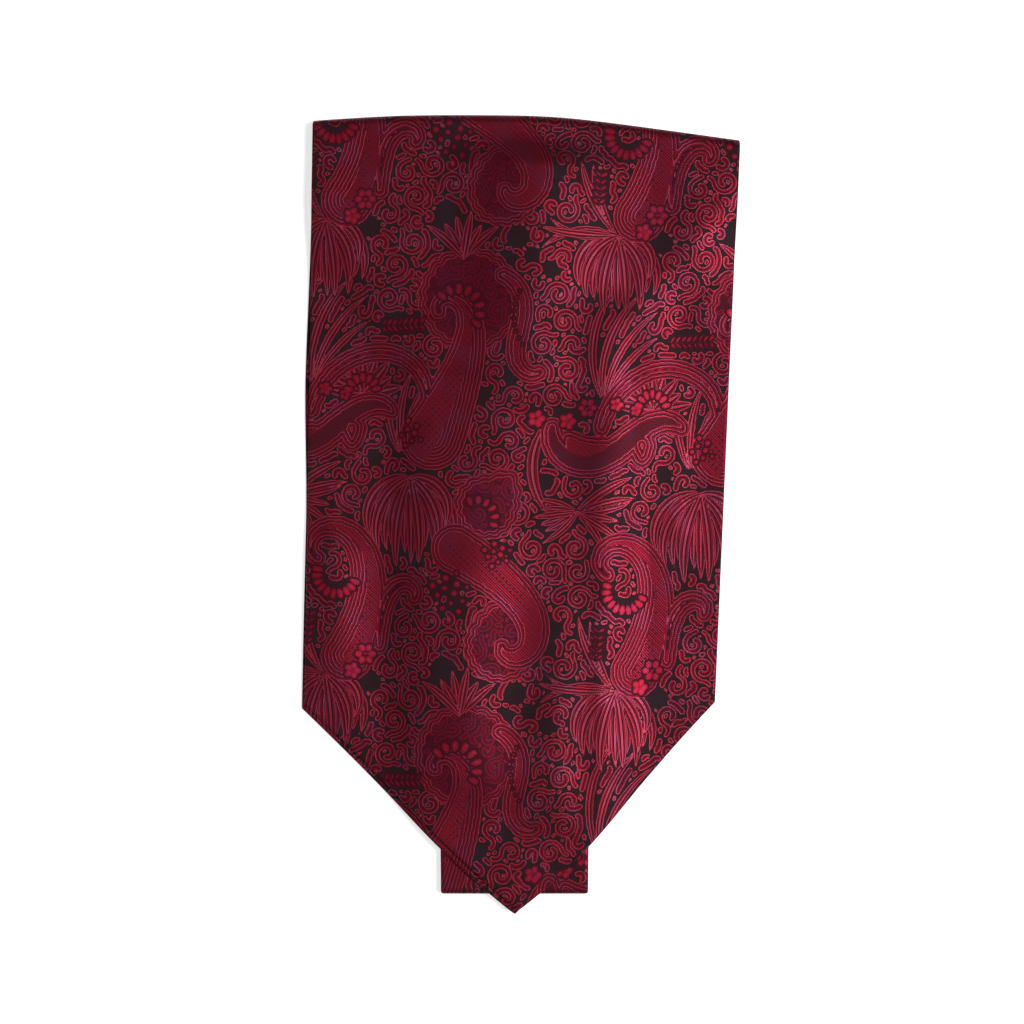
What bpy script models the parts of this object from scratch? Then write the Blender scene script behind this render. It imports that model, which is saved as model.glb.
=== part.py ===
"""A silk cravat, folded twice and laid face up.

Two wide pointed blades lie one over the other. At the top fold both turn under, and below the blades
they are pleated into one narrow neckband, whose own fold shows under the points.

Axes: +Y runs up the blades to the top fold, +X to the right as seen from above, +Z up from the surface
that the cravat lies on. The origin is the middle of the bounding box, on that surface.
All sizes below are in millimetres. Meshes are made in metres.
"""

import math

import bmesh
import bpy

MM = 0.001

# Thickness of the cloth, and how its layers stack
BLADE_WALL = 1.2  # two plies of figured silk with a light interlining
BAND_WALL = 2.0  # the blade's cloth pleated to a third of its width
LAYER_GAP = 0.6  # air between one layer and the next
BLADE_STEP = BLADE_WALL + LAYER_GAP
SEAM_GAP = 0.3  # between two pieces that meet end to end
FOLD_MIDDLE_Z = 1.5 * BLADE_STEP + BLADE_WALL / 2  # axis that both blades turn round at the top fold
FRONT_TURN_RADIUS = 1.5 * BLADE_STEP
BACK_TURN_RADIUS = 0.5 * BLADE_STEP

# Outline in plan: corners of each blade
FRONT_BLADE = {
    "top_left": (-79.7, 151.0),
    "top_right": (84.1, 142.8),
    "left_corner": (-82.9, -72.9),
    "right_corner": (74.8, -72.3),
    "tip": (-0.8, -151.8),
}
BACK_BLADE = {
    "top_left": (-79.2, 150.3),
    "top_right": (81.8, 142.4),
    "left_corner": (-84.2, -74.8),
    "right_corner": (71.8, -73.6),
    "tip": (-2.2, -153.6),
}
LEFT_EDGE_SHOW = 1.6  # how far the back blade's left edge swings out past a straight line
EDGE_SHOW_START = 0.3  # the swing starts at this share of the way up from the corner
FRONT_BULGES = (1.2, 2.6)  # the front blade's left and right diagonals bow out by this much, most near the tip
BACK_BULGES = (1.6, 0.0)

# The top fold: highest near the middle, falling away to each side
FOLD_TOP_Y = 153.6
FOLD_LEFT_SLOPE, FOLD_LEFT_HINGE_X = 0.075, -48.0
FOLD_RIGHT_SLOPE, FOLD_RIGHT_HINGE_X = 0.142, 14.0
FOLD_HINGE_SOFTNESS = 16.0

# Neckband
BAND_MIDDLE_X = -2.3
BAND_HALF_WIDTH, BAND_END_HALF_WIDTH = 29.0, 28.3
BAND_TAPER_LENGTH = 60.0  # it narrows to its end width over this length
BAND_FOLD_Y = -146.0  # the fold at the middle of the neckband
BAND_GAP = 0.4  # air between its two runs
BAND_STEP = BAND_WALL + BAND_GAP
BAND_TURN_RADIUS = BAND_STEP / 2

# Pleats, under the blades
PLEAT_COLUMNS = (3, 6, 9, 17, 20, 23)  # columns of the return along which one pleat tucks under the next
PLEAT_DEPTH = 0.5  # depth of the tuck's groove at the throat; it dies away towards the top fold
THROAT_Y = 52.0  # where the pleats meet the neckband
RETURN_STRAIGHT = 14.0  # run of full width below the fold, before the pleats draw in
RETURN_INSET = 1.0  # the cloth under the blades is narrower than the fold by this much a side
RETURN_TURN_IN = 0.4  # share of the return over which its edges leave the blade's own edges
STACK_PLIES = 2  # layers whose edges show round the hidden stack
STACK_INSET = 1.4  # the stack stays inside the return's edges by this much
PLY_BULGE = 0.35  # each ply's edge stands out past the grooves beside it
PLY_GROOVE = 0.2  # share of a ply's height that a groove takes at each face
STACK_GAP = LAYER_GAP + 0.15  # clear of the back blade's underside

# How the blades drop from the neckband to the table, and how they lift over it
BAND_LIFT = BAND_WALL + BAND_STEP + LAYER_GAP
RETURN_LIFT = 2 * BLADE_STEP
BAND_SHOULDER = 22.0  # the blades come down to the table over this distance beside the neckband
RETURN_SHOULDER = 26.0
SHOULDER_START = 1.5  # clear run past the hidden layers' edge before the drop begins
TIP_DROP_LENGTH = 34.0  # the tip sinks over this length beyond the neckband's fold
TIP_DROP_START = 3.0  # and starts to sink this far above that fold
FOLD_CLEAR = 22.0  # no neckband or pleats hold the blades up this close to the top fold
UNION_POWER = 4.0
SLOPE_REACH = 2.0  # slopes are read over this distance each way

# The largest folds in the blades: each crest is a line of points down the blade
#   crest: (y, x) from the top down; width: half width; rise: height of the crest
RIDGES = (
    # long fold from the top middle to the lower left
    {
        "crest": ((146, 8), (110, 8), (70, 5), (30, -8), (-10, -22), (-60, -25), (-115, -21)),
        "width": 19.0,
        "rise": 1.9,
    },
    # right hand fold
    {
        "crest": ((84, 38), (50, 42), (0, 43), (-50, 44), (-92, 38), (-120, 28)),
        "width": 15.0,
        "rise": 2.3,
    },
    # short fold at the lower left
    {
        "crest": ((0, -68), (-30, -70), (-58, -70), (-92, -66)),
        "width": 12.0,
        "rise": 1.5,
    },
    # short fold at the lower middle
    {
        "crest": ((-22, 14), (-50, 15), (-90, 14), (-128, 12)),
        "width": 11.0,
        "rise": 1.3,
    },
    # small fold at the top right
    {
        "crest": ((136, 66), (112, 68), (86, 71), (60, 72)),
        "width": 12.0,
        "rise": 1.1,
    },
)
RIDGE_FADE = 26.0  # a ridge rises and dies away over this length at each end
FOLD_CALM = 20.0  # the ridges are pressed flat over this length below the top fold

# Mesh density
FRONT_COLUMNS, FRONT_ROWS = 26, 30
BACK_COLUMNS, BACK_ROWS = 24, 28
TURN_STEPS = 6
RETURN_ROWS = 9
BAND_COLUMNS, BAND_ROWS = 8, 9
STACK_COLUMNS, STACK_ROWS = 18, 9
RIM_ANGLES = (38, -38)  # points round a cloth's edge, in degrees above and below its middle


def lerp(a, b, share):
    """The value that lies this share of the way from a to b."""
    return a + (b - a) * share


def smooth(value):
    """0 below 0, 1 above 1, and an S curve between them."""
    value = min(1.0, max(0.0, value))
    return value * value * (3 - 2 * value)


def soft_ramp(distance, softness):
    """0 far below 0 and the distance itself far above 0, with a rounded knee."""
    return (distance + math.hypot(distance, softness)) / 2


def smooth_path(points, at):
    """Reads a curve given as (at, value) pairs, sorted downwards, with level tangents at the points."""
    for (high, first), (low, second) in zip(points, points[1:]):
        if at >= low:
            return lerp(first, second, smooth((high - at) / (high - low)))
    return points[-1][1]


def fold_y(x):
    """The top fold's line in plan."""
    left = FOLD_LEFT_SLOPE * soft_ramp(FOLD_LEFT_HINGE_X - x, FOLD_HINGE_SOFTNESS)
    right = FOLD_RIGHT_SLOPE * soft_ramp(x - FOLD_RIGHT_HINGE_X, FOLD_HINGE_SOFTNESS)
    return FOLD_TOP_Y - left - right


def return_half_width(y):
    """Half the width of the cloth under the blades, from the fold down to the throat."""
    full = (FRONT_BLADE["top_right"][0] - FRONT_BLADE["top_left"][0]) / 2 - RETURN_INSET
    start = FOLD_TOP_Y - RETURN_STRAIGHT
    return lerp(full, BAND_HALF_WIDTH, smooth((start - y) / (start - THROAT_Y)))


def return_middle_x(y):
    """The middle of the cloth under the blades, which drifts to the neckband's."""
    top = (FRONT_BLADE["top_right"][0] + FRONT_BLADE["top_left"][0]) / 2
    return lerp(top, BAND_MIDDLE_X, smooth((FOLD_TOP_Y - y) / (FOLD_TOP_Y - THROAT_Y)))


def band_lift(x, y):
    """How far the neckband and the pleats' bulk hold the blades off the table."""
    aside = abs(x - BAND_MIDDLE_X) - BAND_HALF_WIDTH - SHOULDER_START
    across = 1 - smooth(aside / BAND_SHOULDER)
    below = smooth((y - (BAND_FOLD_Y - TIP_DROP_LENGTH)) / (TIP_DROP_LENGTH - TIP_DROP_START))
    above = smooth((fold_y(x) - FOLD_CLEAR - y) / (FOLD_TOP_Y - FOLD_CLEAR - THROAT_Y))
    return BAND_LIFT * across * below * above


def return_lift(x, y):
    """How far the layers turned under at the top fold hold the blades off the table."""
    if y < THROAT_Y - RETURN_SHOULDER:
        return 0.0
    aside = abs(x - return_middle_x(y)) - return_half_width(y) - SHOULDER_START
    across = 1 - smooth(aside / RETURN_SHOULDER)
    below = smooth((y - (THROAT_Y - RETURN_SHOULDER)) / RETURN_SHOULDER)
    return RETURN_LIFT * across * below


def lift(x, y):
    """Height of the back blade's underside above the table, without its folds."""
    band, turned = band_lift(x, y), return_lift(x, y)
    return (band**UNION_POWER + turned**UNION_POWER) ** (1 / UNION_POWER)


def ridge_height(x, y):
    """Height that the soft folds add at a point of the blades."""
    total = 0.0
    calm = smooth((fold_y(x) - y) / FOLD_CALM)
    for ridge in RIDGES:
        crest = ridge["crest"]
        top, bottom = crest[0][0], crest[-1][0]
        along = smooth((top - y) / RIDGE_FADE) * smooth((y - bottom) / RIDGE_FADE)
        if along == 0:
            continue
        across = (x - smooth_path(crest, y)) / ridge["width"]
        total += ridge["rise"] * along * math.exp(-across * across)
    return total * calm


def back_surface(x, y):
    """Middle of the back blade's cloth."""
    turned = BLADE_WALL / 2 + RETURN_LIFT
    height = BLADE_WALL / 2 + lift(x, y) + ridge_height(x, y)
    return lerp(turned, height, smooth((fold_y(x) - y) / FOLD_CALM))


def front_surface(x, y):
    """Middle of the front blade's cloth: one layer above the back blade's, measured square to the slope."""
    slope_x = (back_surface(x + SLOPE_REACH, y) - back_surface(x - SLOPE_REACH, y)) / (2 * SLOPE_REACH)
    slope_y = (back_surface(x, y + SLOPE_REACH) - back_surface(x, y - SLOPE_REACH)) / (2 * SLOPE_REACH)
    return back_surface(x, y) + BLADE_STEP * math.sqrt(1 + slope_x**2 + slope_y**2)


def tip_share(blade):
    """Where the tip lies across the blade: 0 at the left corner, 1 at the right."""
    left, right = blade["left_corner"][0], blade["right_corner"][0]
    return (blade["tip"][0] - left) / (right - left)


def column_shares(blade, columns):
    """Places of the columns across a blade, 0 to 1, with one of them exactly on the tip."""
    tip = tip_share(blade)
    half = columns // 2
    left = [tip * i / half for i in range(half)]
    right = [lerp(tip, 1, i / (columns - half)) for i in range(columns - half + 1)]
    return left + right


def point_edge(blade, share, bulges):
    """(x, y) on the blade's pointed end, share 0 at its left corner and 1 at its right."""
    tip = tip_share(blade)
    if share <= tip:
        corner, along, bulge, side = blade["left_corner"], share / tip, bulges[0], -1
    else:
        corner, along, bulge, side = blade["right_corner"], (1 - share) / (1 - tip), bulges[1], 1
    bow = bulge * math.sin(math.pi * along * along) * math.sqrt(0.5)
    x = lerp(corner[0], blade["tip"][0], along) + side * bow
    return x, lerp(corner[1], blade["tip"][1], along) - bow


def inset_blade(blade):
    """The blade's corners, moved in by half a wall so that the rounded edge ends on the outline."""
    edge = BLADE_WALL / 2
    diagonal = edge * math.tan(math.radians(22.5))
    return {
        "top_left": (blade["top_left"][0] + edge, blade["top_left"][1]),
        "top_right": (blade["top_right"][0] - edge, blade["top_right"][1]),
        "left_corner": (blade["left_corner"][0] + edge, blade["left_corner"][1] + diagonal),
        "right_corner": (blade["right_corner"][0] - edge, blade["right_corner"][1] + diagonal),
        "tip": (blade["tip"][0], blade["tip"][1] + edge * math.sqrt(2)),
    }


def blade_rows(blade, surface, radius, columns, rows, left_show, bulges):
    """The middle of a blade's cloth from its pointed end up to the end of the turn at the top fold."""
    inner = inset_blade(blade)
    shares = column_shares(inner, columns)
    grid = []
    for row in range(rows + 1):
        up = row / rows
        line = []
        for share in shares:
            foot_x, foot_y = point_edge(inner, share, bulges)
            head_x = lerp(inner["top_left"][0], inner["top_right"][0], share)
            swing = math.sin(math.pi * up) ** 2 * smooth(up / EDGE_SHOW_START - 1)
            x = lerp(foot_x, head_x, up) - left_show * swing * (1 - share) ** 3
            y = lerp(foot_y, fold_y(head_x) - FRONT_TURN_RADIUS - BLADE_WALL / 2, up)
            line.append((x, y, surface(x, y)))
        grid.append(line)
    for step in range(1, TURN_STEPS + 1):
        angle = math.pi * step / TURN_STEPS
        line = []
        for x, y, _ in grid[rows]:
            line.append((x, y + radius * math.sin(angle), FOLD_MIDDLE_Z + radius * math.cos(angle)))
        grid.append(line)
    return grid, shares


def front_return(fold_line, shares):
    """The front blade's cloth under the fold, drawn in to the neckband's width, flat on the table."""
    grid = []
    for row in range(1, RETURN_ROWS + 1):
        line = []
        for share, (start_x, start_y, z) in zip(shares, fold_line):
            y = lerp(start_y, THROAT_Y + SEAM_GAP / 2 + BLADE_WALL / 2, row / RETURN_ROWS)
            half = return_half_width(y) - BLADE_WALL / 2
            drawn = smooth(row / RETURN_ROWS / RETURN_TURN_IN)
            x = lerp(start_x, return_middle_x(y) + half * (2 * share - 1), drawn)
            line.append((x, y, z))
        grid.append(line)
    return grid


def cross(a, b):
    """Cross product of two vectors."""
    return (a[1] * b[2] - a[2] * b[1], a[2] * b[0] - a[0] * b[2], a[0] * b[1] - a[1] * b[0])


def minus(a, b):
    """Vector from b to a."""
    return (a[0] - b[0], a[1] - b[1], a[2] - b[2])


def moved(point, direction, distance):
    """The point moved along a unit direction."""
    return tuple(p + d * distance for p, d in zip(point, direction))


def unit(vector):
    """The vector at length 1."""
    length = math.sqrt(sum(v * v for v in vector))
    return tuple(v / length for v in vector)


def grid_normals(grid):
    """Unit normal of the cloth at each point of a grid, pointing to its face side."""
    rows, columns = len(grid) - 1, len(grid[0]) - 1
    normals = []
    for r, line in enumerate(grid):
        normals.append([])
        for c in range(len(line)):
            along = minus(grid[min(r + 1, rows)][c], grid[max(r - 1, 0)][c])
            across = minus(grid[r][min(c + 1, columns)], grid[r][max(c - 1, 0)])
            normals[-1].append(unit(cross(across, along)))
    return normals


def rim_places(rows, columns):
    """(row, column) of each point round the edge of a grid, anticlockwise seen from the face side."""
    foot = [(0, c) for c in range(columns)]
    right = [(r, columns) for r in range(rows)]
    head = [(rows, c) for c in range(columns, 0, -1)]
    left = [(r, 0) for r in range(rows, 0, -1)]
    return foot + right + head + left


def make_object(name, points, faces, material):
    """Makes the object from points in millimetres and faces that point out."""
    mesh = bpy.data.meshes.new(name)
    mesh.from_pydata([tuple(v * MM for v in point) for point in points], [], faces)
    work = bmesh.new()
    work.from_mesh(mesh)
    bmesh.ops.recalc_face_normals(work, faces=work.faces)
    work.to_mesh(mesh)
    work.free()
    mesh.materials.append(material)
    mesh.shade_smooth()
    obj = bpy.data.objects.new(name, mesh)
    bpy.context.scene.collection.objects.link(obj)
    return obj


def wall_of(name, face, back, rim_lines, material):
    """Closes a face grid and a back grid with lines of points round the edge between them."""
    rows, columns = len(face) - 1, len(face[0]) - 1
    width = columns + 1
    points = [p for line in face for p in line] + [p for line in back for p in line]
    behind = (rows + 1) * width
    faces = []
    for r in range(rows):
        for c in range(columns):
            a, b = r * width + c, (r + 1) * width + c
            faces.append((a, a + 1, b + 1, b))
            faces.append((behind + a, behind + b, behind + b + 1, behind + a + 1))
    places = [r * width + c for r, c in rim_places(rows, columns)]
    rings = [places]
    for line in rim_lines:
        rings.append(list(range(len(points), len(points) + len(line))))
        points += line
    rings.append([behind + place for place in places])
    for upper, lower in zip(rings, rings[1:]):
        for i in range(len(places)):
            j = (i + 1) % len(places)
            faces.append((upper[i], lower[i], lower[j], upper[j]))
    return make_object(name, points, faces, material)


def edge_directions(grid, normals):
    """Unit direction out of the cloth, in its own plane, at each point round the edge."""
    rows, columns = len(grid) - 1, len(grid[0]) - 1
    places = rim_places(rows, columns)
    found = []
    for i, (r, c) in enumerate(places):
        before, after = places[i - 1], places[(i + 1) % len(places)]
        tangent = minus(grid[after[0]][after[1]], grid[before[0]][before[1]])
        found.append(unit(cross(unit(tangent), normals[r][c])))
    return places, found


def pleat_groove(row, column):
    """Depth of the pleats' grooves at a point of the front blade's grid."""
    drawn = (row - FRONT_ROWS - TURN_STEPS) / RETURN_ROWS
    return PLEAT_DEPTH * smooth(drawn) if column in PLEAT_COLUMNS else 0.0


def cloth_wall(name, grid, thickness, material, groove=None):
    """A wall of cloth round its middle surface, with a rounded edge all the way round."""
    normals = grid_normals(grid)
    half = thickness / 2
    face = []
    for r, lines in enumerate(zip(grid, normals)):
        depths = [groove(r, c) if groove else 0.0 for c in range(len(grid[r]))]
        face.append([moved(p, n, half - depth) for p, n, depth in zip(*lines, depths)])
    back = [[moved(p, n, -half) for p, n in zip(*lines)] for lines in zip(grid, normals)]
    places, outward = edge_directions(grid, normals)
    rim_lines = []
    for angle in RIM_ANGLES:
        out, up = half * math.cos(math.radians(angle)), half * math.sin(math.radians(angle))
        line = []
        for (r, c), direction in zip(places, outward):
            line.append(moved(moved(grid[r][c], direction, out), normals[r][c], up))
        rim_lines.append(line)
    return wall_of(name, face, back, rim_lines, material)


def front_blade(material):
    """The upper blade: its face, the turn over the top fold, and the return down to the pleats."""
    grid, shares = blade_rows(
        FRONT_BLADE, front_surface, FRONT_TURN_RADIUS, FRONT_COLUMNS, FRONT_ROWS, 0.0, FRONT_BULGES
    )
    grid += front_return(grid[-1], shares)
    return cloth_wall("front_blade", grid, BLADE_WALL, material, pleat_groove)


def back_blade(material):
    """The lower blade: its face and the tight turn inside the front blade's."""
    grid, _ = blade_rows(
        BACK_BLADE, back_surface, BACK_TURN_RADIUS, BACK_COLUMNS, BACK_ROWS, LEFT_EDGE_SHOW, BACK_BULGES
    )
    return cloth_wall("back_blade", grid, BLADE_WALL, material)


def neckband(material):
    """The pleated band: a run on the table, the fold at its middle, and the run that comes back above."""
    lower, upper = BAND_WALL / 2, BAND_WALL / 2 + BAND_STEP
    head_y = THROAT_Y - SEAM_GAP / 2 - BAND_WALL / 2
    turn_y = BAND_FOLD_Y + BAND_TURN_RADIUS + BAND_WALL / 2
    path = [(lerp(head_y, turn_y, i / BAND_ROWS), upper) for i in range(BAND_ROWS + 1)]
    for step in range(1, TURN_STEPS):
        angle = math.pi * step / TURN_STEPS
        below, above = BAND_TURN_RADIUS * math.sin(angle), BAND_TURN_RADIUS * math.cos(angle)
        path.append((turn_y - below, (lower + upper) / 2 + above))
    path += [(lerp(turn_y, head_y, i / BAND_ROWS), lower) for i in range(BAND_ROWS + 1)]
    grid = []
    for y, z in path:
        taper = smooth((y - BAND_FOLD_Y) / BAND_TAPER_LENGTH)
        width = lerp(BAND_END_HALF_WIDTH, BAND_HALF_WIDTH, taper) - BAND_WALL / 2
        line = []
        for i in range(BAND_COLUMNS + 1):
            line.append((BAND_MIDDLE_X - width * (2 * i / BAND_COLUMNS - 1), y, z))
        grid.append(line)
    return cloth_wall("neckband", grid, BAND_WALL, material)


def pleat_stack(material):
    """The hidden layers between the return and the back blade: one solid, with a groove between plies."""
    foot_y = THROAT_Y + SEAM_GAP / 2 + 2 * PLY_BULGE
    floor_z = BLADE_STEP
    grid, back = [], []
    for row in range(STACK_ROWS + 1):
        line = []
        for column in range(STACK_COLUMNS + 1):
            across = 2 * column / STACK_COLUMNS - 1
            head_x = return_middle_x(FOLD_TOP_Y) + across * return_half_width(FOLD_TOP_Y)
            head_y = fold_y(head_x) - FRONT_TURN_RADIUS - BLADE_WALL - STACK_INSET
            y = lerp(foot_y, head_y, row / STACK_ROWS)
            half = return_half_width(y) - STACK_INSET - 2 * PLY_BULGE
            x = return_middle_x(y) + across * half
            line.append((x, y, lift(x, y) - STACK_GAP))
        grid.append(line)
        back.append([(x, y, floor_z) for x, y, _ in line])
    rim_lines = []
    places = rim_places(STACK_ROWS, STACK_COLUMNS)
    _, outward = edge_directions(back, grid_normals(back))
    for ply in range(STACK_PLIES):
        for share, out in ((PLY_GROOVE, PLY_BULGE), (0.5, 2 * PLY_BULGE), (1 - PLY_GROOVE, PLY_BULGE)):
            line = []
            for (r, c), direction in zip(places, outward):
                x, y, top = grid[r][c]
                line.append(moved((x, y, lerp(top, floor_z, (ply + share) / STACK_PLIES)), direction, out))
            rim_lines.append(line)
    return wall_of("pleat_stack", grid, back, rim_lines, material)


def silk(name, colour, roughness):
    """A plain silk material in the mean colour of the figured cloth."""
    material = bpy.data.materials.new(name)
    material.use_nodes = True
    shader = material.node_tree.nodes["Principled BSDF"]
    shader.inputs["Base Color"].default_value = (*colour, 1)
    shader.inputs["Roughness"].default_value = roughness
    shader.inputs["Metallic"].default_value = 0.0
    return material


def main():
    """Clears the scene and builds the folded cravat."""
    for obj in list(bpy.data.objects):
        bpy.data.objects.remove(obj)
    front_blade(silk("front_silk", (0.130, 0.012, 0.024), 0.42))
    back_blade(silk("back_silk", (0.105, 0.010, 0.020), 0.45))
    neckband(silk("band_silk", (0.105, 0.010, 0.020), 0.45))
    pleat_stack(silk("pleat_silk", (0.090, 0.009, 0.018), 0.48))


main()
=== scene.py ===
"""The looks of a silk cravat, folded twice and laid face up on a pale table.

Two wide pointed blades of figured silk lie one over the other. Both turn under at the top fold and are
pleated into a narrow neckband, whose own fold shows below their points.

Sizes are in millimetres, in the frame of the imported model: +Y runs up the blades, +Z up from the table.
Meshes are made in metres.
"""

import logging
import math
from dataclasses import dataclass
from enum import Enum
from typing import Callable, Iterable, Optional, Sequence, Union

import bpy
import numpy as np
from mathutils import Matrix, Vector


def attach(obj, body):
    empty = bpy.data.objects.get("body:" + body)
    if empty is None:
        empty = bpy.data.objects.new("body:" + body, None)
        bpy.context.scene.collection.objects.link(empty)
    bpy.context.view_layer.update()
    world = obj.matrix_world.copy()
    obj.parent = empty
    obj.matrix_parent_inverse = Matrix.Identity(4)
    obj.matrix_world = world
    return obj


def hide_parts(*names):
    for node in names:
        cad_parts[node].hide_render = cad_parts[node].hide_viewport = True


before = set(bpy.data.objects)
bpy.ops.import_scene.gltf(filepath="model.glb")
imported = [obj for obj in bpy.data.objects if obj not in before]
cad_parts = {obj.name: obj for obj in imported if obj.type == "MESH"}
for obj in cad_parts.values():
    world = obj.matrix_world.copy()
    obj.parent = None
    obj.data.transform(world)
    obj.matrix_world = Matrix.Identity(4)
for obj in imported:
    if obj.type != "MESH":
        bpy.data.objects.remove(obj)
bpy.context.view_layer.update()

MM = 0.001
BODY = "root"
CLOTH_MAP = "cloth"

log = logging.getLogger("cravat")

Array = np.ndarray
Number = Union[float, Array]
Point = tuple[float, float]


def lerp(a: Number, b: Number, share: Number) -> Number:
    """The value that lies this share of the way from a to b.

    Args:
        a: Value at share 0.
        b: Value at share 1.
        share: Share of the way, a number or an array.

    Returns:
        The value between them.
    """
    return a + (b - a) * share


def smooth(value: Number) -> Number:
    """An S curve: 0 below 0, 1 above 1.

    Args:
        value: A number or an array.

    Returns:
        The eased share.
    """
    value = np.clip(value, 0.0, 1.0)
    return value * value * (3 - 2 * value)


def soft_ramp(distance: Number, softness: float) -> Number:
    """0 far below 0 and the distance itself far above it, with a rounded knee.

    Args:
        distance: A number or an array.
        softness: Size of the knee.

    Returns:
        The ramp's height.
    """
    return (distance + np.hypot(distance, softness)) / 2


def smooth_path(points: Sequence[Point], at: Number) -> Number:
    """Reads a line given as (at, value) pairs sorted downwards, level at each point.

    Args:
        points: The pairs.
        at: Where to read it, a number or an array.

    Returns:
        The line's value there.
    """
    value = points[0][1]
    for (high, first), (low, second) in zip(points, points[1:]):
        value = value + (second - first) * smooth((high - at) / (high - low))
    return value


@dataclass(frozen=True)
class Crease:
    """One soft ridge or trough, drawn along a line of (y, x) points from the top down."""

    crest: tuple[Point, ...]
    width: float
    rise: float
    fade: float = 26.0

    def height(self, x: Array, y: Array) -> Array:
        """Height of the crease over the plain cloth.

        Args:
            x: Places across.
            y: Places along.

        Returns:
            Heights, negative in a trough.
        """
        top, bottom = self.crest[0][0], self.crest[-1][0]
        along = smooth((top - y) / self.fade) * smooth((y - bottom) / self.fade)
        across = (x - smooth_path(self.crest, y)) / self.width
        return self.rise * along * np.exp(-across * across)


@dataclass(frozen=True)
class Outline:
    """Corners of one blade in plan."""

    top_left: Point
    top_right: Point
    left_corner: Point
    right_corner: Point
    tip: Point

    def inset(self, edge: float) -> "Outline":
        """The outline moved in, so that a rounded edge ends on it.

        Args:
            edge: Half the cloth's thickness.

        Returns:
            The smaller outline.
        """
        diagonal = edge * math.tan(math.radians(22.5))
        return Outline(
            (self.top_left[0] + edge, self.top_left[1]),
            (self.top_right[0] - edge, self.top_right[1]),
            (self.left_corner[0] + edge, self.left_corner[1] + diagonal),
            (self.right_corner[0] - edge, self.right_corner[1] + diagonal),
            (self.tip[0], self.tip[1] + edge * math.sqrt(2)),
        )

    @property
    def tip_share(self) -> float:
        """Where the tip lies across the blade, 0 at the left corner and 1 at the right."""
        return (self.tip[0] - self.left_corner[0]) / (self.right_corner[0] - self.left_corner[0])

    def columns(self, count: int) -> Array:
        """Places of the columns across the blade, with one exactly on the tip.

        Args:
            count: Number of steps across, an even one.

        Returns:
            Shares from 0 to 1.
        """
        half = count // 2
        left = np.linspace(0, self.tip_share, half + 1)
        right = np.linspace(self.tip_share, 1, half + 1)
        return np.concatenate((left, right[1:]))

    def foot(self, share: Array, bulges: tuple[float, float]) -> tuple[Array, Array]:
        """The pointed end's line.

        Args:
            share: Places across, 0 to 1.
            bulges: How far the left and the right diagonal bow out, most near the tip.

        Returns:
            The x and y of each place.
        """
        on_left = share <= self.tip_share
        along = np.where(on_left, share / self.tip_share, (1 - share) / (1 - self.tip_share))
        corner_x = np.where(on_left, self.left_corner[0], self.right_corner[0])
        corner_y = np.where(on_left, self.left_corner[1], self.right_corner[1])
        bow = np.where(on_left, *bulges) * np.sin(np.pi * along * along) * math.sqrt(0.5)
        side = np.where(on_left, -1, 1)
        return lerp(corner_x, self.tip[0], along) + side * bow, lerp(corner_y, self.tip[1], along) - bow


FRONT_OUTLINE = Outline((-79.7, 151.0), (84.1, 142.8), (-82.9, -72.9), (74.8, -72.3), (-0.8, -151.8))
BACK_OUTLINE = Outline((-79.2, 150.3), (81.8, 142.4), (-84.2, -74.8), (71.8, -73.6), (-2.2, -153.6))

MAIN_FOLDS = (
    Crease(((146, 8), (110, 8), (70, 5), (30, -8), (-10, -22), (-60, -25), (-115, -21)), 19.0, 1.9),
    Crease(((84, 38), (50, 42), (0, 43), (-50, 44), (-92, 38), (-120, 28)), 15.0, 2.3),
    Crease(((0, -68), (-30, -70), (-58, -70), (-92, -66)), 12.0, 1.5),
    Crease(((-22, 14), (-50, 15), (-90, 14), (-128, 12)), 11.0, 1.3),
    Crease(((136, 66), (112, 68), (86, 71), (60, 72)), 12.0, 1.1),
)

SOFT_FOLDS = (
    Crease(((152, 9), (110, 9), (72, 4), (34, -4)), 29.0, 2.4, 18.0),
    Crease(((150, -2), (118, -4), (86, -8), (56, -15)), 21.0, 1.4, 18.0),
    Crease(((2, -14), (-40, -19), (-80, -20), (-124, -16)), 18.0, 1.7, 26.0),
    Crease(((88, 36), (62, 40), (38, 43), (12, 44)), 12.0, 1.5, 16.0),
    Crease(((8, 43), (-34, 45), (-64, 42), (-120, 28)), 15.0, -1.5, 22.0),
    Crease(((138, -74), (108, -76), (76, -75)), 13.0, 0.8, 20.0),
    Crease(((4, -74), (-30, -75), (-68, -73)), 11.0, 0.7, 18.0),
    Crease(((-60, 13), (-92, 12), (-124, 9)), 9.0, 0.7, 18.0),
)


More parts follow.
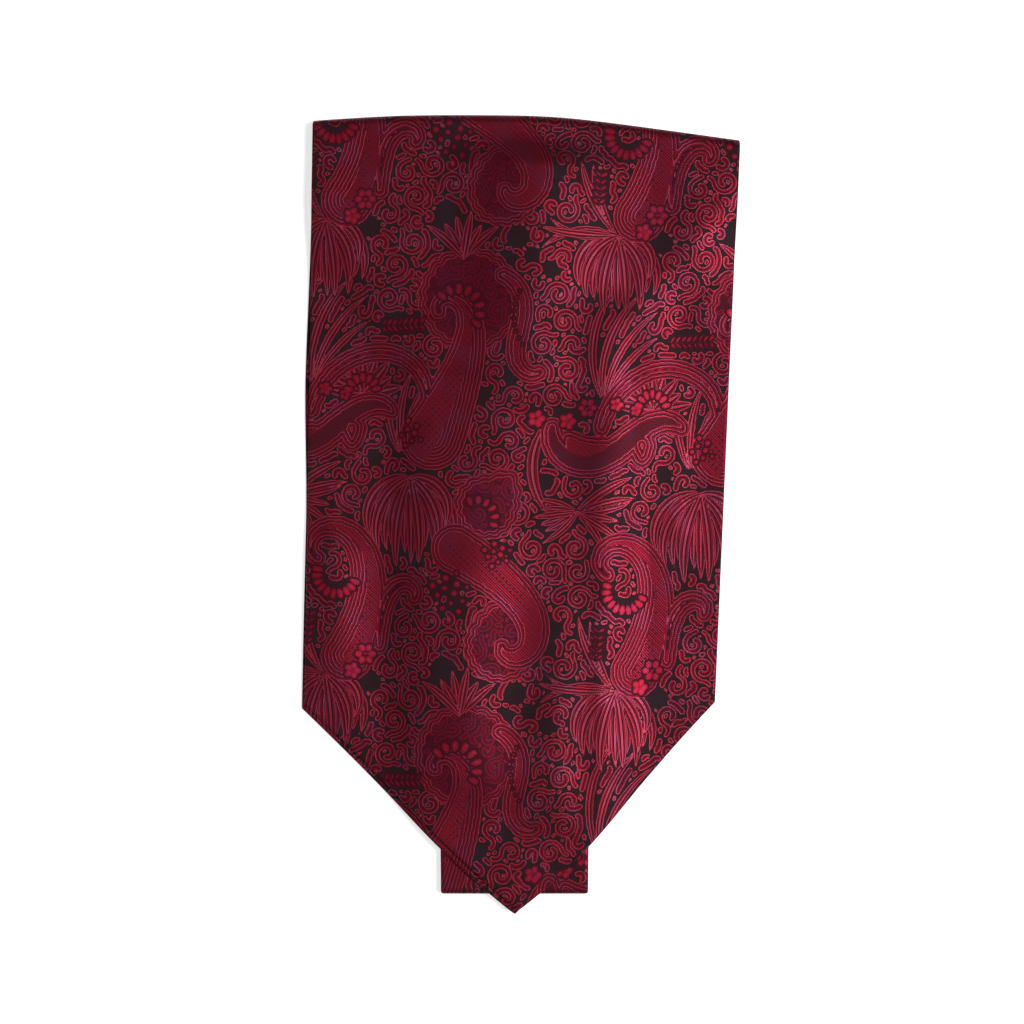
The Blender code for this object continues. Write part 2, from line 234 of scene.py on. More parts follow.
@dataclass(frozen=True)
class Lie:
    """How the layers lie: what lifts the blades off the table, and their folds."""

    wall: float = 1.2
    step: float = 1.8
    band_wall: float = 2.0
    band_gap: float = 0.4
    seam_gap: float = 0.3
    fold_top_y: float = 153.6
    left_slope: float = 0.075
    left_hinge_x: float = -48.0
    right_slope: float = 0.142
    right_hinge_x: float = 14.0
    hinge_softness: float = 16.0
    band_middle_x: float = -2.3
    band_half_width: float = 29.0
    band_end_half_width: float = 28.3
    band_taper: float = 60.0
    band_fold_y: float = -146.0
    throat_y: float = 52.0
    return_straight: float = 14.0
    return_inset: float = 1.0
    return_turn_in: float = 0.4
    band_shoulder: float = 22.0
    return_shoulder: float = 26.0
    shoulder_start: float = 1.5
    tip_drop: float = 34.0
    tip_drop_start: float = 3.0
    fold_clear: float = 22.0
    fold_calm: float = 20.0
    union_power: float = 4.0
    slope_reach: float = 2.0

    @property
    def fold_middle_z(self) -> float:
        """Height of the line that both blades turn round."""
        return 1.5 * self.step + self.wall / 2

    @property
    def front_turn(self) -> float:
        """Radius of the front blade's turn, at the middle of its cloth."""
        return 1.5 * self.step

    @property
    def back_turn(self) -> float:
        """Radius of the back blade's turn, at the middle of its cloth."""
        return 0.5 * self.step

    @property
    def band_step(self) -> float:
        """From the middle of the neckband's lower run to that of its upper run."""
        return self.band_wall + self.band_gap

    def fold_y(self, x: Array) -> Array:
        """The top fold's line in plan.

        Args:
            x: Places across.

        Returns:
            The fold's y there.
        """
        left = self.left_slope * soft_ramp(self.left_hinge_x - x, self.hinge_softness)
        right = self.right_slope * soft_ramp(x - self.right_hinge_x, self.hinge_softness)
        return self.fold_top_y - left - right

    def return_half_width(self, y: Array) -> Array:
        """Half the width of the cloth under the blades.

        Args:
            y: Places along.

        Returns:
            The half width there.
        """
        full = (FRONT_OUTLINE.top_right[0] - FRONT_OUTLINE.top_left[0]) / 2 - self.return_inset
        start = self.fold_top_y - self.return_straight
        return lerp(full, self.band_half_width, smooth((start - y) / (start - self.throat_y)))

    def return_middle_x(self, y: Array) -> Array:
        """The middle of the cloth under the blades.

        Args:
            y: Places along.

        Returns:
            The middle's x there.
        """
        top = (FRONT_OUTLINE.top_right[0] + FRONT_OUTLINE.top_left[0]) / 2
        return lerp(top, self.band_middle_x, smooth((self.fold_top_y - y) / (self.fold_top_y - self.throat_y)))

    def lift(self, x: Array, y: Array) -> Array:
        """Height of the back blade's underside above the table, without its folds.

        Args:
            x: Places across.
            y: Places along.

        Returns:
            The heights.
        """
        band_rise = self.band_wall + self.band_step + self.step - self.wall
        aside = np.abs(x - self.band_middle_x) - self.band_half_width - self.shoulder_start
        below = smooth((y - (self.band_fold_y - self.tip_drop)) / (self.tip_drop - self.tip_drop_start))
        above = smooth((self.fold_y(x) - self.fold_clear - y) / (self.fold_top_y - self.fold_clear - self.throat_y))
        band = band_rise * (1 - smooth(aside / self.band_shoulder)) * below * above
        aside = np.abs(x - self.return_middle_x(y)) - self.return_half_width(y) - self.shoulder_start
        below = smooth((y - (self.throat_y - self.return_shoulder)) / self.return_shoulder)
        turned = 2 * self.step * (1 - smooth(aside / self.return_shoulder)) * below
        return (band**self.union_power + turned**self.union_power) ** (1 / self.union_power)

    def back_surface(self, x: Array, y: Array) -> Array:
        """Middle of the back blade's cloth.

        Args:
            x: Places across.
            y: Places along.

        Returns:
            The heights.
        """
        below_fold = smooth((self.fold_y(x) - y) / self.fold_calm)
        folds = sum(crease.height(x, y) for crease in MAIN_FOLDS + SOFT_FOLDS) * below_fold
        turned = self.wall / 2 + 2 * self.step
        return lerp(turned, self.wall / 2 + self.lift(x, y) + folds, below_fold)

    def front_surface(self, x: Array, y: Array) -> Array:
        """Middle of the front blade's cloth, one layer above the back blade's square to the slope.

        Args:
            x: Places across.
            y: Places along.

        Returns:
            The heights.
        """
        reach = self.slope_reach
        slope_x = (self.back_surface(x + reach, y) - self.back_surface(x - reach, y)) / (2 * reach)
        slope_y = (self.back_surface(x, y + reach) - self.back_surface(x, y - reach)) / (2 * reach)
        return self.back_surface(x, y) + self.step * np.sqrt(1 + slope_x**2 + slope_y**2)


LIE = Lie()

FINE_CREASES = (
    Crease(((128, -38), (96, -44), (62, -40)), 7.0, 0.34, 14.0),
    Crease(((112, -14), (78, -20), (46, -34), (22, -46)), 5.5, -0.26, 16.0),
    Crease(((60, 58), (36, 62), (8, 60), (-18, 62)), 4.5, 0.36, 16.0),
    Crease(((30, 18), (4, 22), (-26, 26), (-48, 27)), 5.0, -0.28, 18.0),
    Crease(((96, 52), (74, 56), (58, 54)), 4.0, 0.30, 10.0),
    Crease(((-34, -44), (-58, -46), (-84, -42)), 5.5, 0.30, 14.0),
    Crease(((-62, 52), (-84, 46), (-104, 36)), 5.0, 0.32, 12.0),
    Crease(((-78, -8), (-104, -7), (-132, -6)), 4.0, -0.22, 14.0),
    Crease(((20, -70), (-6, -73), (-26, -72)), 3.5, 0.24, 10.0),
    Crease(((140, 30), (118, 34), (92, 30)), 5.0, -0.24, 12.0),
)


@dataclass
class Sheet:
    """A sheet of cloth as a grid: the middle of the cloth, and each point's place on the flat cloth."""

    middle: Array
    flat: Array
    groove: Optional[Array] = None

    def normals(self) -> Array:
        """Unit normals to the face side, from each point's neighbours."""
        padded_rows = np.concatenate((self.middle[:1], self.middle, self.middle[-1:]))
        along = padded_rows[2:] - padded_rows[:-2]
        padded = np.concatenate((self.middle[:, :1], self.middle, self.middle[:, -1:]), axis=1)
        across = padded[:, 2:] - padded[:, :-2]
        normal = np.cross(across, along)
        return normal / np.linalg.norm(normal, axis=2, keepdims=True)


def rim_places(rows: int, columns: int) -> tuple[Array, Array]:
    """Rows and columns of the points round a grid, anticlockwise seen from the face side.

    Args:
        rows: Steps along.
        columns: Steps across.

    Returns:
        The row and the column of each point.
    """
    side_r, side_c = np.arange(rows), np.arange(columns)
    places_r = np.concatenate((np.zeros(columns, int), side_r, np.full(columns, rows), rows - side_r))
    places_c = np.concatenate((side_c, np.full(rows, columns), columns - side_c, np.zeros(rows, int)))
    return places_r, places_c


def grid_faces(rows: int, columns: int, start: int, flip: bool) -> Array:
    """Four-sided faces over a grid of points numbered row by row.

    Args:
        rows: Steps along.
        columns: Steps across.
        start: Number of the grid's first point.
        flip: True to turn the faces over.

    Returns:
        The points of each face.
    """
    r, c = np.meshgrid(np.arange(rows), np.arange(columns), indexing="ij")
    a = (start + r * (columns + 1) + c).ravel()
    b = a + columns + 1
    corners = (a, b, b + 1, a + 1) if flip else (a, a + 1, b + 1, b)
    return np.stack(corners, axis=1)


@dataclass(frozen=True)
class ShellMaker:
    """Closes a sheet into a thin shell with a rounded edge all the way round."""

    wall: float
    lining_step: int = 1
    rim_angles: tuple[float, ...] = (64, 38, 12, -12, -38, -64)

    def build(self, name: str, sheet: Sheet, material: bpy.types.Material) -> bpy.types.Object:
        """Makes the shell's object.

        Args:
            name: The object's name.
            sheet: The cloth's middle and its flat places.
            material: The finish.

        Returns:
            The object, with the flat places in its cloth map.
        """
        rows, columns = sheet.middle.shape[0] - 1, sheet.middle.shape[1] - 1
        normals, half = sheet.normals(), self.wall / 2
        depth = np.zeros(sheet.middle.shape[:2]) if sheet.groove is None else sheet.groove
        face = sheet.middle + normals * (half - depth)[..., None]
        step = self.lining_step
        inside = (sheet.middle - normals * half)[::step, ::step]
        place_r, place_c = rim_places(rows, columns)
        middle, normal, flat = (field[place_r, place_c] for field in (sheet.middle, normals, sheet.flat))
        tangent = np.roll(middle, -1, axis=0) - np.roll(middle, 1, axis=0)
        outward = np.cross(tangent, normal)
        outward /= np.linalg.norm(outward, axis=1, keepdims=True)
        flat_tangent = np.roll(flat, -1, axis=0) - np.roll(flat, 1, axis=0)
        flat_out = np.stack((flat_tangent[:, 1], -flat_tangent[:, 0]), axis=1)
        flat_out /= np.maximum(np.linalg.norm(flat_out, axis=1, keepdims=True), 1e-6)
        points, places = [face.reshape(-1, 3)], [sheet.flat.reshape(-1, 2)]
        for angle in self.rim_angles:
            out, up = half * math.cos(math.radians(angle)), half * math.sin(math.radians(angle))
            points.append(middle + outward * out + normal * up)
            places.append(flat + flat_out * half * math.radians(90 - angle))
        points.append(inside.reshape(-1, 3))
        places.append(sheet.flat[::step, ::step].reshape(-1, 2))
        ring_size, face_size = len(place_r), (rows + 1) * (columns + 1)
        faces = grid_faces(rows, columns, 0, False).tolist()
        rings = [place_r * (columns + 1) + place_c]
        for index in range(len(self.rim_angles)):
            rings.append(face_size + index * ring_size + np.arange(ring_size))
        behind = face_size + len(self.rim_angles) * ring_size
        faces += grid_faces(rows // step, columns // step, behind, True).tolist()
        for upper, lower in zip(rings, rings[1:]):
            faces += np.stack((upper, lower, np.roll(lower, -1), np.roll(upper, -1)), axis=1).tolist()
        lining_r, lining_c = rim_places(rows // step, columns // step)
        lining = (behind + lining_r * (columns // step + 1) + lining_c).tolist()
        last = rings[-1].tolist()
        for index, low in enumerate(lining):
            following = [last[(index * step + k) % ring_size] for k in range(step + 1)]
            faces.append([following[0], low, lining[(index + 1) % len(lining)]] + following[:0:-1])
        return cloth_object(name, np.concatenate(points), faces, np.concatenate(places), material)


def cloth_object(
    name: str, points: Array, faces: Iterable, places: Array, material: bpy.types.Material
) -> bpy.types.Object:
    """Makes a smooth object whose cloth map and figure follow the flat cloth.

    Args:
        name: The object's name.
        points: Points in millimetres.
        faces: Faces that point out.
        places: Each point's place on the flat cloth, in millimetres.
        material: The finish.

    Returns:
        The object.
    """
    mesh = bpy.data.meshes.new(name)
    mesh.from_pydata((points * MM).tolist(), [], faces)
    mesh.shade_smooth()
    mesh.materials.append(material)
    corners = np.empty(len(mesh.loops), np.int32)
    mesh.loops.foreach_get("vertex_index", corners)
    layer = mesh.uv_layers.new(name=CLOTH_MAP)
    layer.data.foreach_set("uv", (places[corners] * MM).astype(np.float32).ravel())
    add_figure(mesh, places)
    piece = bpy.data.objects.new(name, mesh)
    bpy.context.scene.collection.objects.link(piece)
    return piece


def flat_places(middle: Array) -> Array:
    """Lays a grid out flat: lengths along its columns and rows become places on the cloth.

    Args:
        middle: The grid of points.

    Returns:
        The place of each point on the flat cloth.
    """
    step_up = np.hypot(*(np.diff(middle[..., k], axis=0) for k in (1, 2)))
    v = middle[:1, :, 1] + np.concatenate((np.zeros_like(step_up[:1]), np.cumsum(step_up, axis=0)))
    step_on = np.hypot(*(np.diff(middle[..., k], axis=1) for k in (0, 2)))
    u = np.concatenate((np.zeros_like(step_on[:, :1]), np.cumsum(step_on, axis=1)), axis=1)
    centre = u.shape[1] // 2
    u += (middle[:, centre, 0] - u[:, centre])[:, None]
    return np.stack((u, v), axis=2)


FAR = 20.0
MARGIN = 4.0
CURL_MARGIN = 2.6
REPEAT = np.array(((112.4, -6.5), (-1.3, -174.5)))  # the figure's repeat: one step across, one step down
TO_SHARE = np.linalg.inv(REPEAT)
BINS = np.array((24, 36))  # bins across and down one repeat, to find near places fast


class Figure:
    """The woven figure at places of the flat cloth, as distances from the edges of its motifs.

    Each motif is drawn with thin forms: discs along a bent spine. Their distances change evenly over the
    cloth, so a finish can draw fine lines from them.
    """

    def __init__(self, places: Array) -> None:
        """Starts with bare ground.

        Args:
            places: Places on the flat cloth, in millimetres.
        """
        self.places = places
        self.distance = {layer: np.full(len(places), FAR) for layer in Layer}
        self.side = {layer: np.zeros(len(places)) for layer in CURL_LAYERS + PETAL_LAYERS}
        self.satin = np.zeros(len(places))
        self.nested = np.zeros(len(places))
        column, row = np.floor((places @ TO_SHARE) % 1 * BINS).astype(int).T
        bins = column * BINS[1] + row
        self.order = np.argsort(bins, kind="stable")
        self.starts = np.searchsorted(bins[self.order], np.arange(BINS[0] * BINS[1] + 1))

    def near(self, place: Array, reach: float) -> tuple[Array, Array]:
        """The places near a motif, or near one of its repeats.

        Args:
            place: The motif's middle.
            reach: How far the motif reaches.

        Returns:
            The numbers of the places, and their offsets from the motif's middle.
        """
        share, span = place @ TO_SHARE, reach / np.linalg.norm(REPEAT, axis=1) * 1.01
        low, high = (np.floor((share + way * span) * BINS).astype(int) for way in (-1, 1))
        high = np.minimum(high, low + BINS - 1)
        bins = [
            (column % BINS[0]) * BINS[1] + row % BINS[1]
            for column in range(low[0], high[0] + 1)
            for row in range(low[1], high[1] + 1)
        ]
        chosen = np.concatenate([self.order[self.starts[number] : self.starts[number + 1]] for number in bins])
        offset = self.places[chosen] - place
        offset -= np.round(offset @ TO_SHARE) @ REPEAT
        inside = (offset**2).sum(axis=1) < reach * reach
        return chosen[inside], offset[inside]

    def draw(
        self, place: Point, form: "Form", layer: "Layer", margin: float = MARGIN
    ) -> tuple[Array, Array, Array]:
        """Draws one form into a layer.

        Args:
            place: The motif's middle.
            form: The form, round that middle.
            layer: The layer of distances.
            margin: How far past the form's edge its distances are kept.

        Returns:
            The places that the form now owns, their share along it and their side of it.
        """
        chosen, offset = self.near(np.array(place), form.reach + margin)
        distance, along, side = form.distance(offset)
        depth = self.distance[layer]
        won = distance < depth[chosen]
        owned = chosen[won]
        depth[owned] = distance[won]
        if layer in self.side:
            self.side[layer][owned] = np.clip(side[won], -2, 2)
        return owned, along[won], side[won]


@dataclass(frozen=True)
class Form:
    """Discs along a bent spine, whose union is a paisley, a petal, a crescent or a berry."""

    spine: Array
    radii: Array
    scallop: float = 0.0
    scallops: int = 0

    @property
    def reach(self) -> float:
        """How far the form reaches from its motif's middle."""
        return float((np.linalg.norm(self.spine, axis=1) + self.radii).max())

    def distance(self, offset: Array) -> tuple[Array, Array, Array]:
        """Distances from the form's edge.

        Args:
            offset: Offsets from the motif's middle.

        Returns:
            The distance, negative inside, the share along the spine, and the side, from -1 to 1.
        """
        apart = offset[:, None, :] - self.spine[None]
        gaps = np.sqrt((apart**2).sum(axis=2)) - self.radii
        nearest = gaps.argmin(axis=1)
        rows = np.arange(len(offset))
        found = gaps[rows, nearest]
        tangent = np.gradient(self.spine, axis=0) if len(self.spine) > 1 else np.array([[1.0, 0.0]])
        tangent = tangent / np.maximum(np.linalg.norm(tangent, axis=1, keepdims=True), 1e-9)
        away = apart[rows, nearest]
        ahead = tangent[nearest]
        side = (ahead[:, 0] * away[:, 1] - ahead[:, 1] * away[:, 0]) / self.radii[nearest]
        if self.scallops:
            from_head = offset - self.spine[0]
            turn = np.arctan2(from_head[:, 1], from_head[:, 0])
            found = found - self.scallop * np.abs(np.cos(self.scallops * turn / 2))
        return found, nearest / max(1, len(self.spine) - 1), side


def bent_form(
    start: Point,
    heading: float,
    length: float,
    width: float,
    bend: float = 0.0,
    curl: float = 0.0,
    pointed: bool = False,
    tip: float = 0.35,
    fullness: float = 0.9,
    whip: float = 3.0,
    steps: int = 48,
    **more: float,
) -> Form:
    """A form along a spine that bends evenly and curls up towards its end.

    Args:
        start: Where the spine starts.
        heading: Its first direction, in degrees anticlockwise from +X.
        length: The spine's length.
        width: Half width at its widest.
        bend: Degrees that the spine turns through.
        curl: More degrees, most of them near the end.
        pointed: True for a petal, narrow at both ends; False for a paisley, fullest at its start.
        tip: Half width at the very end.
        fullness: Power of the taper; less is fuller.
        whip: Power of the curl; more keeps it nearer the end.
        steps: Discs along the spine.
        more: Scallops of the form's edge.

    Returns:
        The form.
    """
    share = np.linspace(0, 1, steps)
    angle = np.radians(heading + bend * share + curl * share**whip)
    stride = length / (steps - 1)
    line = np.stack((np.cos(angle), np.sin(angle)), axis=1) * stride
    spine = np.array(start) + np.concatenate((np.zeros((1, 2)), np.cumsum(line[:-1], axis=0)))
    taper = np.sin(np.pi * lerp(0.06, 1.0, share)) ** fullness if pointed else (1 - share) ** fullness
    return Form(spine, np.maximum(width * taper, tip), **more)


class Layer(Enum):
    """Layers of the figure, from the ground up; each is a map of distances on the cloth.

    Forms that lie close together go into different layers, so that the gap between them stays crisp.
    """

    CURL_A = "curl_a"
    CURL_B = "curl_b"
    CURL_C = "curl_c"
    CURL_D = "curl_d"
    BACK = "back"
    PETAL_LOW = "petal_low"
    PETAL_MIDDLE = "petal_middle"
    PETAL_HIGH = "petal_high"
    BODY = "body"
    BEAD_A = "bead_a"
    BEAD_B = "bead_b"


CURL_LAYERS = (Layer.CURL_A, Layer.CURL_B, Layer.CURL_C, Layer.CURL_D)
PETAL_LAYERS = (Layer.PETAL_LOW, Layer.PETAL_MIDDLE, Layer.PETAL_HIGH)
BEAD_LAYERS = (Layer.BEAD_A, Layer.BEAD_B)


class Interior(Enum):
    """How the inside of a paisley is woven."""

    SATIN = "satin"
    DARK = "dark"
    LINES = "lines"
    LINES_LEFT = "lines left of its middle, satin right of it"
    LINES_RIGHT = "lines right of its middle, satin left of it"


@dataclass(frozen=True)
class Paisley:
    """A bent paisley or crescent."""

    place: Point
    heading: float
    length: float
    width: float
    bend: float = 0.0
    curl: float = 0.0
    interior: Interior = Interior.SATIN
    pointed: bool = False
    fullness: float = 0.9
    split: float = 0.1
    whip: float = 3.0

    def draw(self, figure: Figure) -> None:
        """Draws the paisley.

        Args:
            figure: The figure to draw into.
        """
        form = bent_form(
            (0.0, 0.0), self.heading, self.length, self.width, self.bend, self.curl, self.pointed,
            fullness=self.fullness, whip=self.whip, steps=72,
        )
        owned, _, side = figure.draw(self.place, form, Layer.BODY)
        figure.satin[owned] = 0.0 if self.interior is Interior.DARK else 1.0
        lines = {
            Interior.LINES: np.ones_like(side),
            Interior.LINES_LEFT: smooth((side - self.split) * 2 + 0.5),
            Interior.LINES_RIGHT: smooth((-side - self.split) * 2 + 0.5),
        }
        figure.nested[owned] = lines.get(self.interior, 0.0)


@dataclass(frozen=True)
class Drop:
    """A plump drop with a scalloped border, woven dark behind the other motifs."""

    place: Point
    heading: float
    length: float
    width: float
    bend: float = 0.0
    scallops: int = 15
    scallop: float = 0.9

    def draw(self, figure: Figure) -> None:
        """Draws the drop.

        Args:
            figure: The figure to draw into.
        """
        form = bent_form(
            (0.0, 0.0), self.heading, self.length, self.width, self.bend,
            fullness=0.75, steps=24, scallop=self.scallop, scallops=self.scallops,
        )
        figure.draw(self.place, form, Layer.BACK)


@dataclass(frozen=True)
class Spray:
    """Petals or leaves that spring from one place."""

    place: Point
    first: float
    last: float
    count: int
    length: float
    width: float
    bend: float = 0.0
    uneven: float = 0.12

    def draw(self, figure: Figure) -> None:
        """Draws the petals.

        Args:
            figure: The figure to draw into.
        """
        for number in range(self.count):
            share = number / max(1, self.count - 1)
            heading = lerp(self.first, self.last, share)
            lean = self.bend * (1 - 2 * share) if self.count > 1 else self.bend
            length = self.length * (1 + self.uneven * math.cos(2.4 * number + 0.7))
            steps = math.ceil(length / 0.8)
            form = bent_form((0.0, 0.0), heading, length, self.width, lean, pointed=True, fullness=0.6, steps=steps)
            figure.draw(self.place, form, PETAL_LAYERS[number % 3])


@dataclass(frozen=True)
class Ring:
    """Bright petals set round part of a circle."""

    place: Point
    radius: float
    first: float
    last: float
    count: int
    size: float = 1.25
    stretch: float = 1.7

    def draw(self, figure: Figure) -> None:
        """Draws the petals.

        Args:
            figure: The figure to draw into.
        """
        for number in range(self.count):
            turn = lerp(self.first, self.last, number / max(1, self.count - 1))
            out = np.array((math.cos(math.radians(turn)), math.sin(math.radians(turn))))
            spine = np.stack([out * (self.radius + k * self.size * self.stretch / 2) for k in (0, 1, 2)])
            form = Form(spine, np.array((0.72, 1.0, 0.95)) * self.size)
            figure.draw(self.place, form, BEAD_LAYERS[number % 2])


@dataclass(frozen=True)
class Rosette:
    """A small bright flower of round petals."""

    place: Point
    radius: float
    count: int = 6

    def draw(self, figure: Figure) -> None:
        """Draws the flower.

        Args:
            figure: The figure to draw into.
        """
        size = self.radius * math.sin(math.pi / self.count) * 0.72
        last = 360 * (1 - 1 / self.count)
        Ring(self.place, self.radius - 1.3 * size, 0.0, last, self.count, size, 0.5).draw(figure)
        figure.draw(self.place, Form(np.zeros((1, 2)), np.array([self.radius * 0.2])), Layer.BEAD_A)


@dataclass(frozen=True)
class Berries:
    """Round berries, set like seeds in a head."""

    place: Point
    count: int
    spread: float
    size: float = 1.3

    def draw(self, figure: Figure) -> None:
        """Draws the berries.

        Args:
            figure: The figure to draw into.
        """
        for number in range(self.count):
            turn, out = math.radians(137.5 * number), self.spread * math.sqrt((number + 0.4) / self.count)
            centre = np.array([[out * math.cos(turn), out * math.sin(turn)]])
            form = Form(centre, np.array([self.size * (1 - 0.25 * (number % 3) / 2)]))
            figure.draw(self.place, form, BEAD_LAYERS[number % 2])


@dataclass(frozen=True)
class Sprig:
    """A stem with pairs of small leaves."""

    place: Point
    heading: float
    length: float
    pairs: int = 7

    def draw(self, figure: Figure) -> None:
        """Draws the leaves.

        Args:
            figure: The figure to draw into.
        """
        ahead = np.array((math.cos(math.radians(self.heading)), math.sin(math.radians(self.heading))))
        for number in range(self.pairs):
            start = ahead * self.length * ((number + 0.5) / self.pairs - 0.5)
            for lean in (52, -52):
                form = bent_form(tuple(start), self.heading + lean, 3.4, 0.62, pointed=True, tip=0.2, steps=8)
                figure.draw(self.place, form, BEAD_LAYERS[number % 2])


FIGURE_REPEAT = (
    # paisley with a curled head, its ring of petals, and the flower that it springs from
    Paisley((45.8, 114.0), 62, 75, 7.4, 60, 220, Interior.LINES_LEFT, fullness=0.95, whip=4.0),
    Ring((41.5, 145.0), 6.2, 165, 338, 10),
    Spray((37.6, 106.4), 172, 368, 15, 28, 2.0, 128),
    Spray((36.6, 107.6), 132, 132, 1, 29, 1.6, -34),
    Spray((36.2, 107.6), 122, 122, 1, 26, 1.5, -30),
    Spray((36.0, 107.0), 160, 196, 4, 27, 1.5, 62),
    Rosette((52.6, 114.4), 4.0, 6),
    Rosette((47.6, 108.0), 3.2, 5),
    Sprig((30.5, 124.0), 84, 13, 5),
    Paisley((58.1, 117.7), 90, 36, 1.7, -30, -186, Interior.LINES, pointed=True, fullness=0.5, whip=4.0),
    # tall paisley with a curled head, its ring of petals, its dark shade and its flower
    Drop((-19.5, 82.5), 250, 12, 17.0, 20, 21, 1.0),
    Paisley((-33.9, 29.6), 62, 68, 10.0, 20, 222, Interior.LINES_RIGHT, fullness=1.15, split=0.25, whip=6.0),
    Ring((-24.0, 77.8), 7.2, -34, 138, 8, 1.35),
    Berries((-42.0, 31.0), 8, 5.4, 1.15),
    Spray((-42.4, 14.0), 172, 368, 15, 32, 2.1, 128),
    Spray((-46.2, 24.5), 98, 98, 1, 29, 1.5, -34),
    Spray((-47.4, 24.0), 116, 116, 1, 25, 1.5, -38),
    Spray((-45.0, 24.8), 84, 84, 1, 26, 1.3, -30),
    Spray((-22.0, 98.0), 52, 128, 6, 17, 1.7, -22),
    # long paisley from the left, whose hooked end lies on a dark scalloped drop
    Drop((-6.2, 124.5), 96, 15, 11.4, -20, 17, 0.9),
    Paisley((-25.1, -13.0), -30, 66, 6.8, -30, -214, fullness=0.55, whip=4.5),
    Berries((-9.0, -15.5), 10, 5.6, 1.15),
    Berries((-27.0, -30.0), 12, 8.2, 1.3),
    Drop((-13.0, 3.0), 40, 14, 9.6, 30, 15),
    Ring((-17.0, -1.5), 6.0, -20, 110, 6, 1.1),
    # crescent
    Paisley((-6.7, 91.5), -25, 47, 1.4, -230, 290, pointed=True, fullness=0.4),
    Ring((17.0, 76.0), 19.5, 152, 214, 9, 0.62, 0.3),
    # dark hooked band, the satin crescent in its bend and the arch over it
    Paisley((31.0, 33.0), 76, 66, 1.2, -120, -48, Interior.LINES, pointed=True, fullness=0.4),
    Spray((51.0, 40.0), 4, 176, 9, 14.5, 2.3, 10),
    Spray((51.0, 40.0), -12, -60, 3, 13, 1.6, -20),
    Paisley((12.1, 33.0), -95, 64, 3.6, 330, -290, Interior.DARK, pointed=True, fullness=0.5),
    Paisley((18.5, 28.5), -60, 17, 3.4, 105, 0, pointed=True, fullness=0.6),
    Paisley((46.6, 26.5), -88, 5.5, 3.4, 0, 0, Interior.LINES, fullness=0.5),
    Ring((51.0, 40.5), 4.4, 12, 168, 7, 1.15),
    Rosette((36.6, 41.8), 2.7, 5),
    Rosette((44.2, 39.6), 2.2, 5),
    Rosette((25.6, 40.6), 3.6, 6),
    Rosette((6.0, 36.5), 3.4, 5),
    Rosette((18.0, 35.6), 3.2, 5),
    Spray((10.5, 35.0), -128, -128, 1, 36, 2.2, 82),
    Spray((30.6, 45.0), 112, 112, 1, 42, 1.6, -64),
    Spray((31.4, 45.4), 96, 96, 1, 40, 1.6, -56),
    Spray((32.4, 45.8), 80, 80, 1, 36, 1.5, -48),
    Spray((33.6, 46.2), 66, 66, 1, 28, 1.4, -40),
    # small sprays of leaves
    Spray((21.7, 0.8), 44, 44, 1, 23, 1.7, -24),
    Spray((22.2, 0.4), 24, 24, 1, 21, 1.6, -20),
    Spray((21.7, 0.8), -2, -44, 4, 19, 1.5, 25),
    Spray((21.7, 0.8), 150, 236, 6, 16, 1.4, 30),
    Sprig((-46.2, 72.5), 2, 17, 8),
)


@dataclass(frozen=True)
class Curl:
    """One kind of curl in the filling: part of a spiral, and a tail that bends away from it."""

    inner: float
    turns: float
    tail: float
    sweep: float
    radius: float
    tries: int
    pitch: float = 2.7
    step: float = 0.6

    def form(self, heading: float, hand: float) -> Form:
        """Makes one curl round its middle.

        Args:
            heading: How far it is turned, in radians.
            hand: 1, or -1 for its mirror image.

        Returns:
            The form.
        """
        length = self.turns * 2 * math.pi * (self.inner + self.pitch * self.turns / 2)
        angle = np.linspace(0, self.turns * 2 * math.pi, max(2, round(length / self.step)))
        out = self.inner + self.pitch * angle / (2 * math.pi)
        spiral = np.stack((out * np.cos(angle), out * np.sin(angle)), axis=1)
        count = round(self.tail / self.step)
        bend = angle[-1] + math.pi / 2 + math.radians(self.sweep) * (np.arange(count) + 1) / max(1, count)
        stride = np.stack((np.cos(bend), np.sin(bend)), axis=1) * self.step
        spine = np.concatenate((spiral, spiral[-1] + np.cumsum(stride, axis=0)))
        spine -= (spine.min(axis=0) + spine.max(axis=0)) / 2
        spine[:, 1] *= hand
        turn = np.array(((math.cos(heading), math.sin(heading)), (-math.sin(heading), math.cos(heading))))
        return Form(spine @ turn, np.linspace(1.0, 0.86, len(spine)) * self.radius)


CURLS = (
    Curl(1.60, 1.10, 3.0, -50, 1.16, 1600),
    Curl(1.60, 0.80, 5.0, -120, 1.16, 2400),
    Curl(1.60, 0.85, 3.4, 10, 1.15, 2400),
    Curl(2.10, 0.50, 2.4, -60, 1.14, 2600),
    Curl(1.65, 0.65, 1.2, -30, 1.12, 3600),
)


# bare places in the filling, where the dark ground shows: middle across and along, radius, in millimetres
CLEARINGS = (
    (-28.0, 114.5, 5.0),
    (-19.5, 107.0, 3.4),
    (-1.0, 106.0, 4.0),
    (4.5, 99.0, 2.6),
    (-5.0, 97.5, 2.8),
    (11.5, 93.5, 2.8),
    (13.5, 130.0, 2.8),
    (12.5, 123.5, 2.4),
    (-35.0, 88.0, 2.6),
    (55.0, 103.5, 3.2),
    (55.5, 15.0, 2.6),
    (9.5, 12.5, 2.8),
    (15.5, 38.5, 2.6),
    (-14.0, 46.0, 2.4),
    (-4.0, 52.0, 2.2),
)


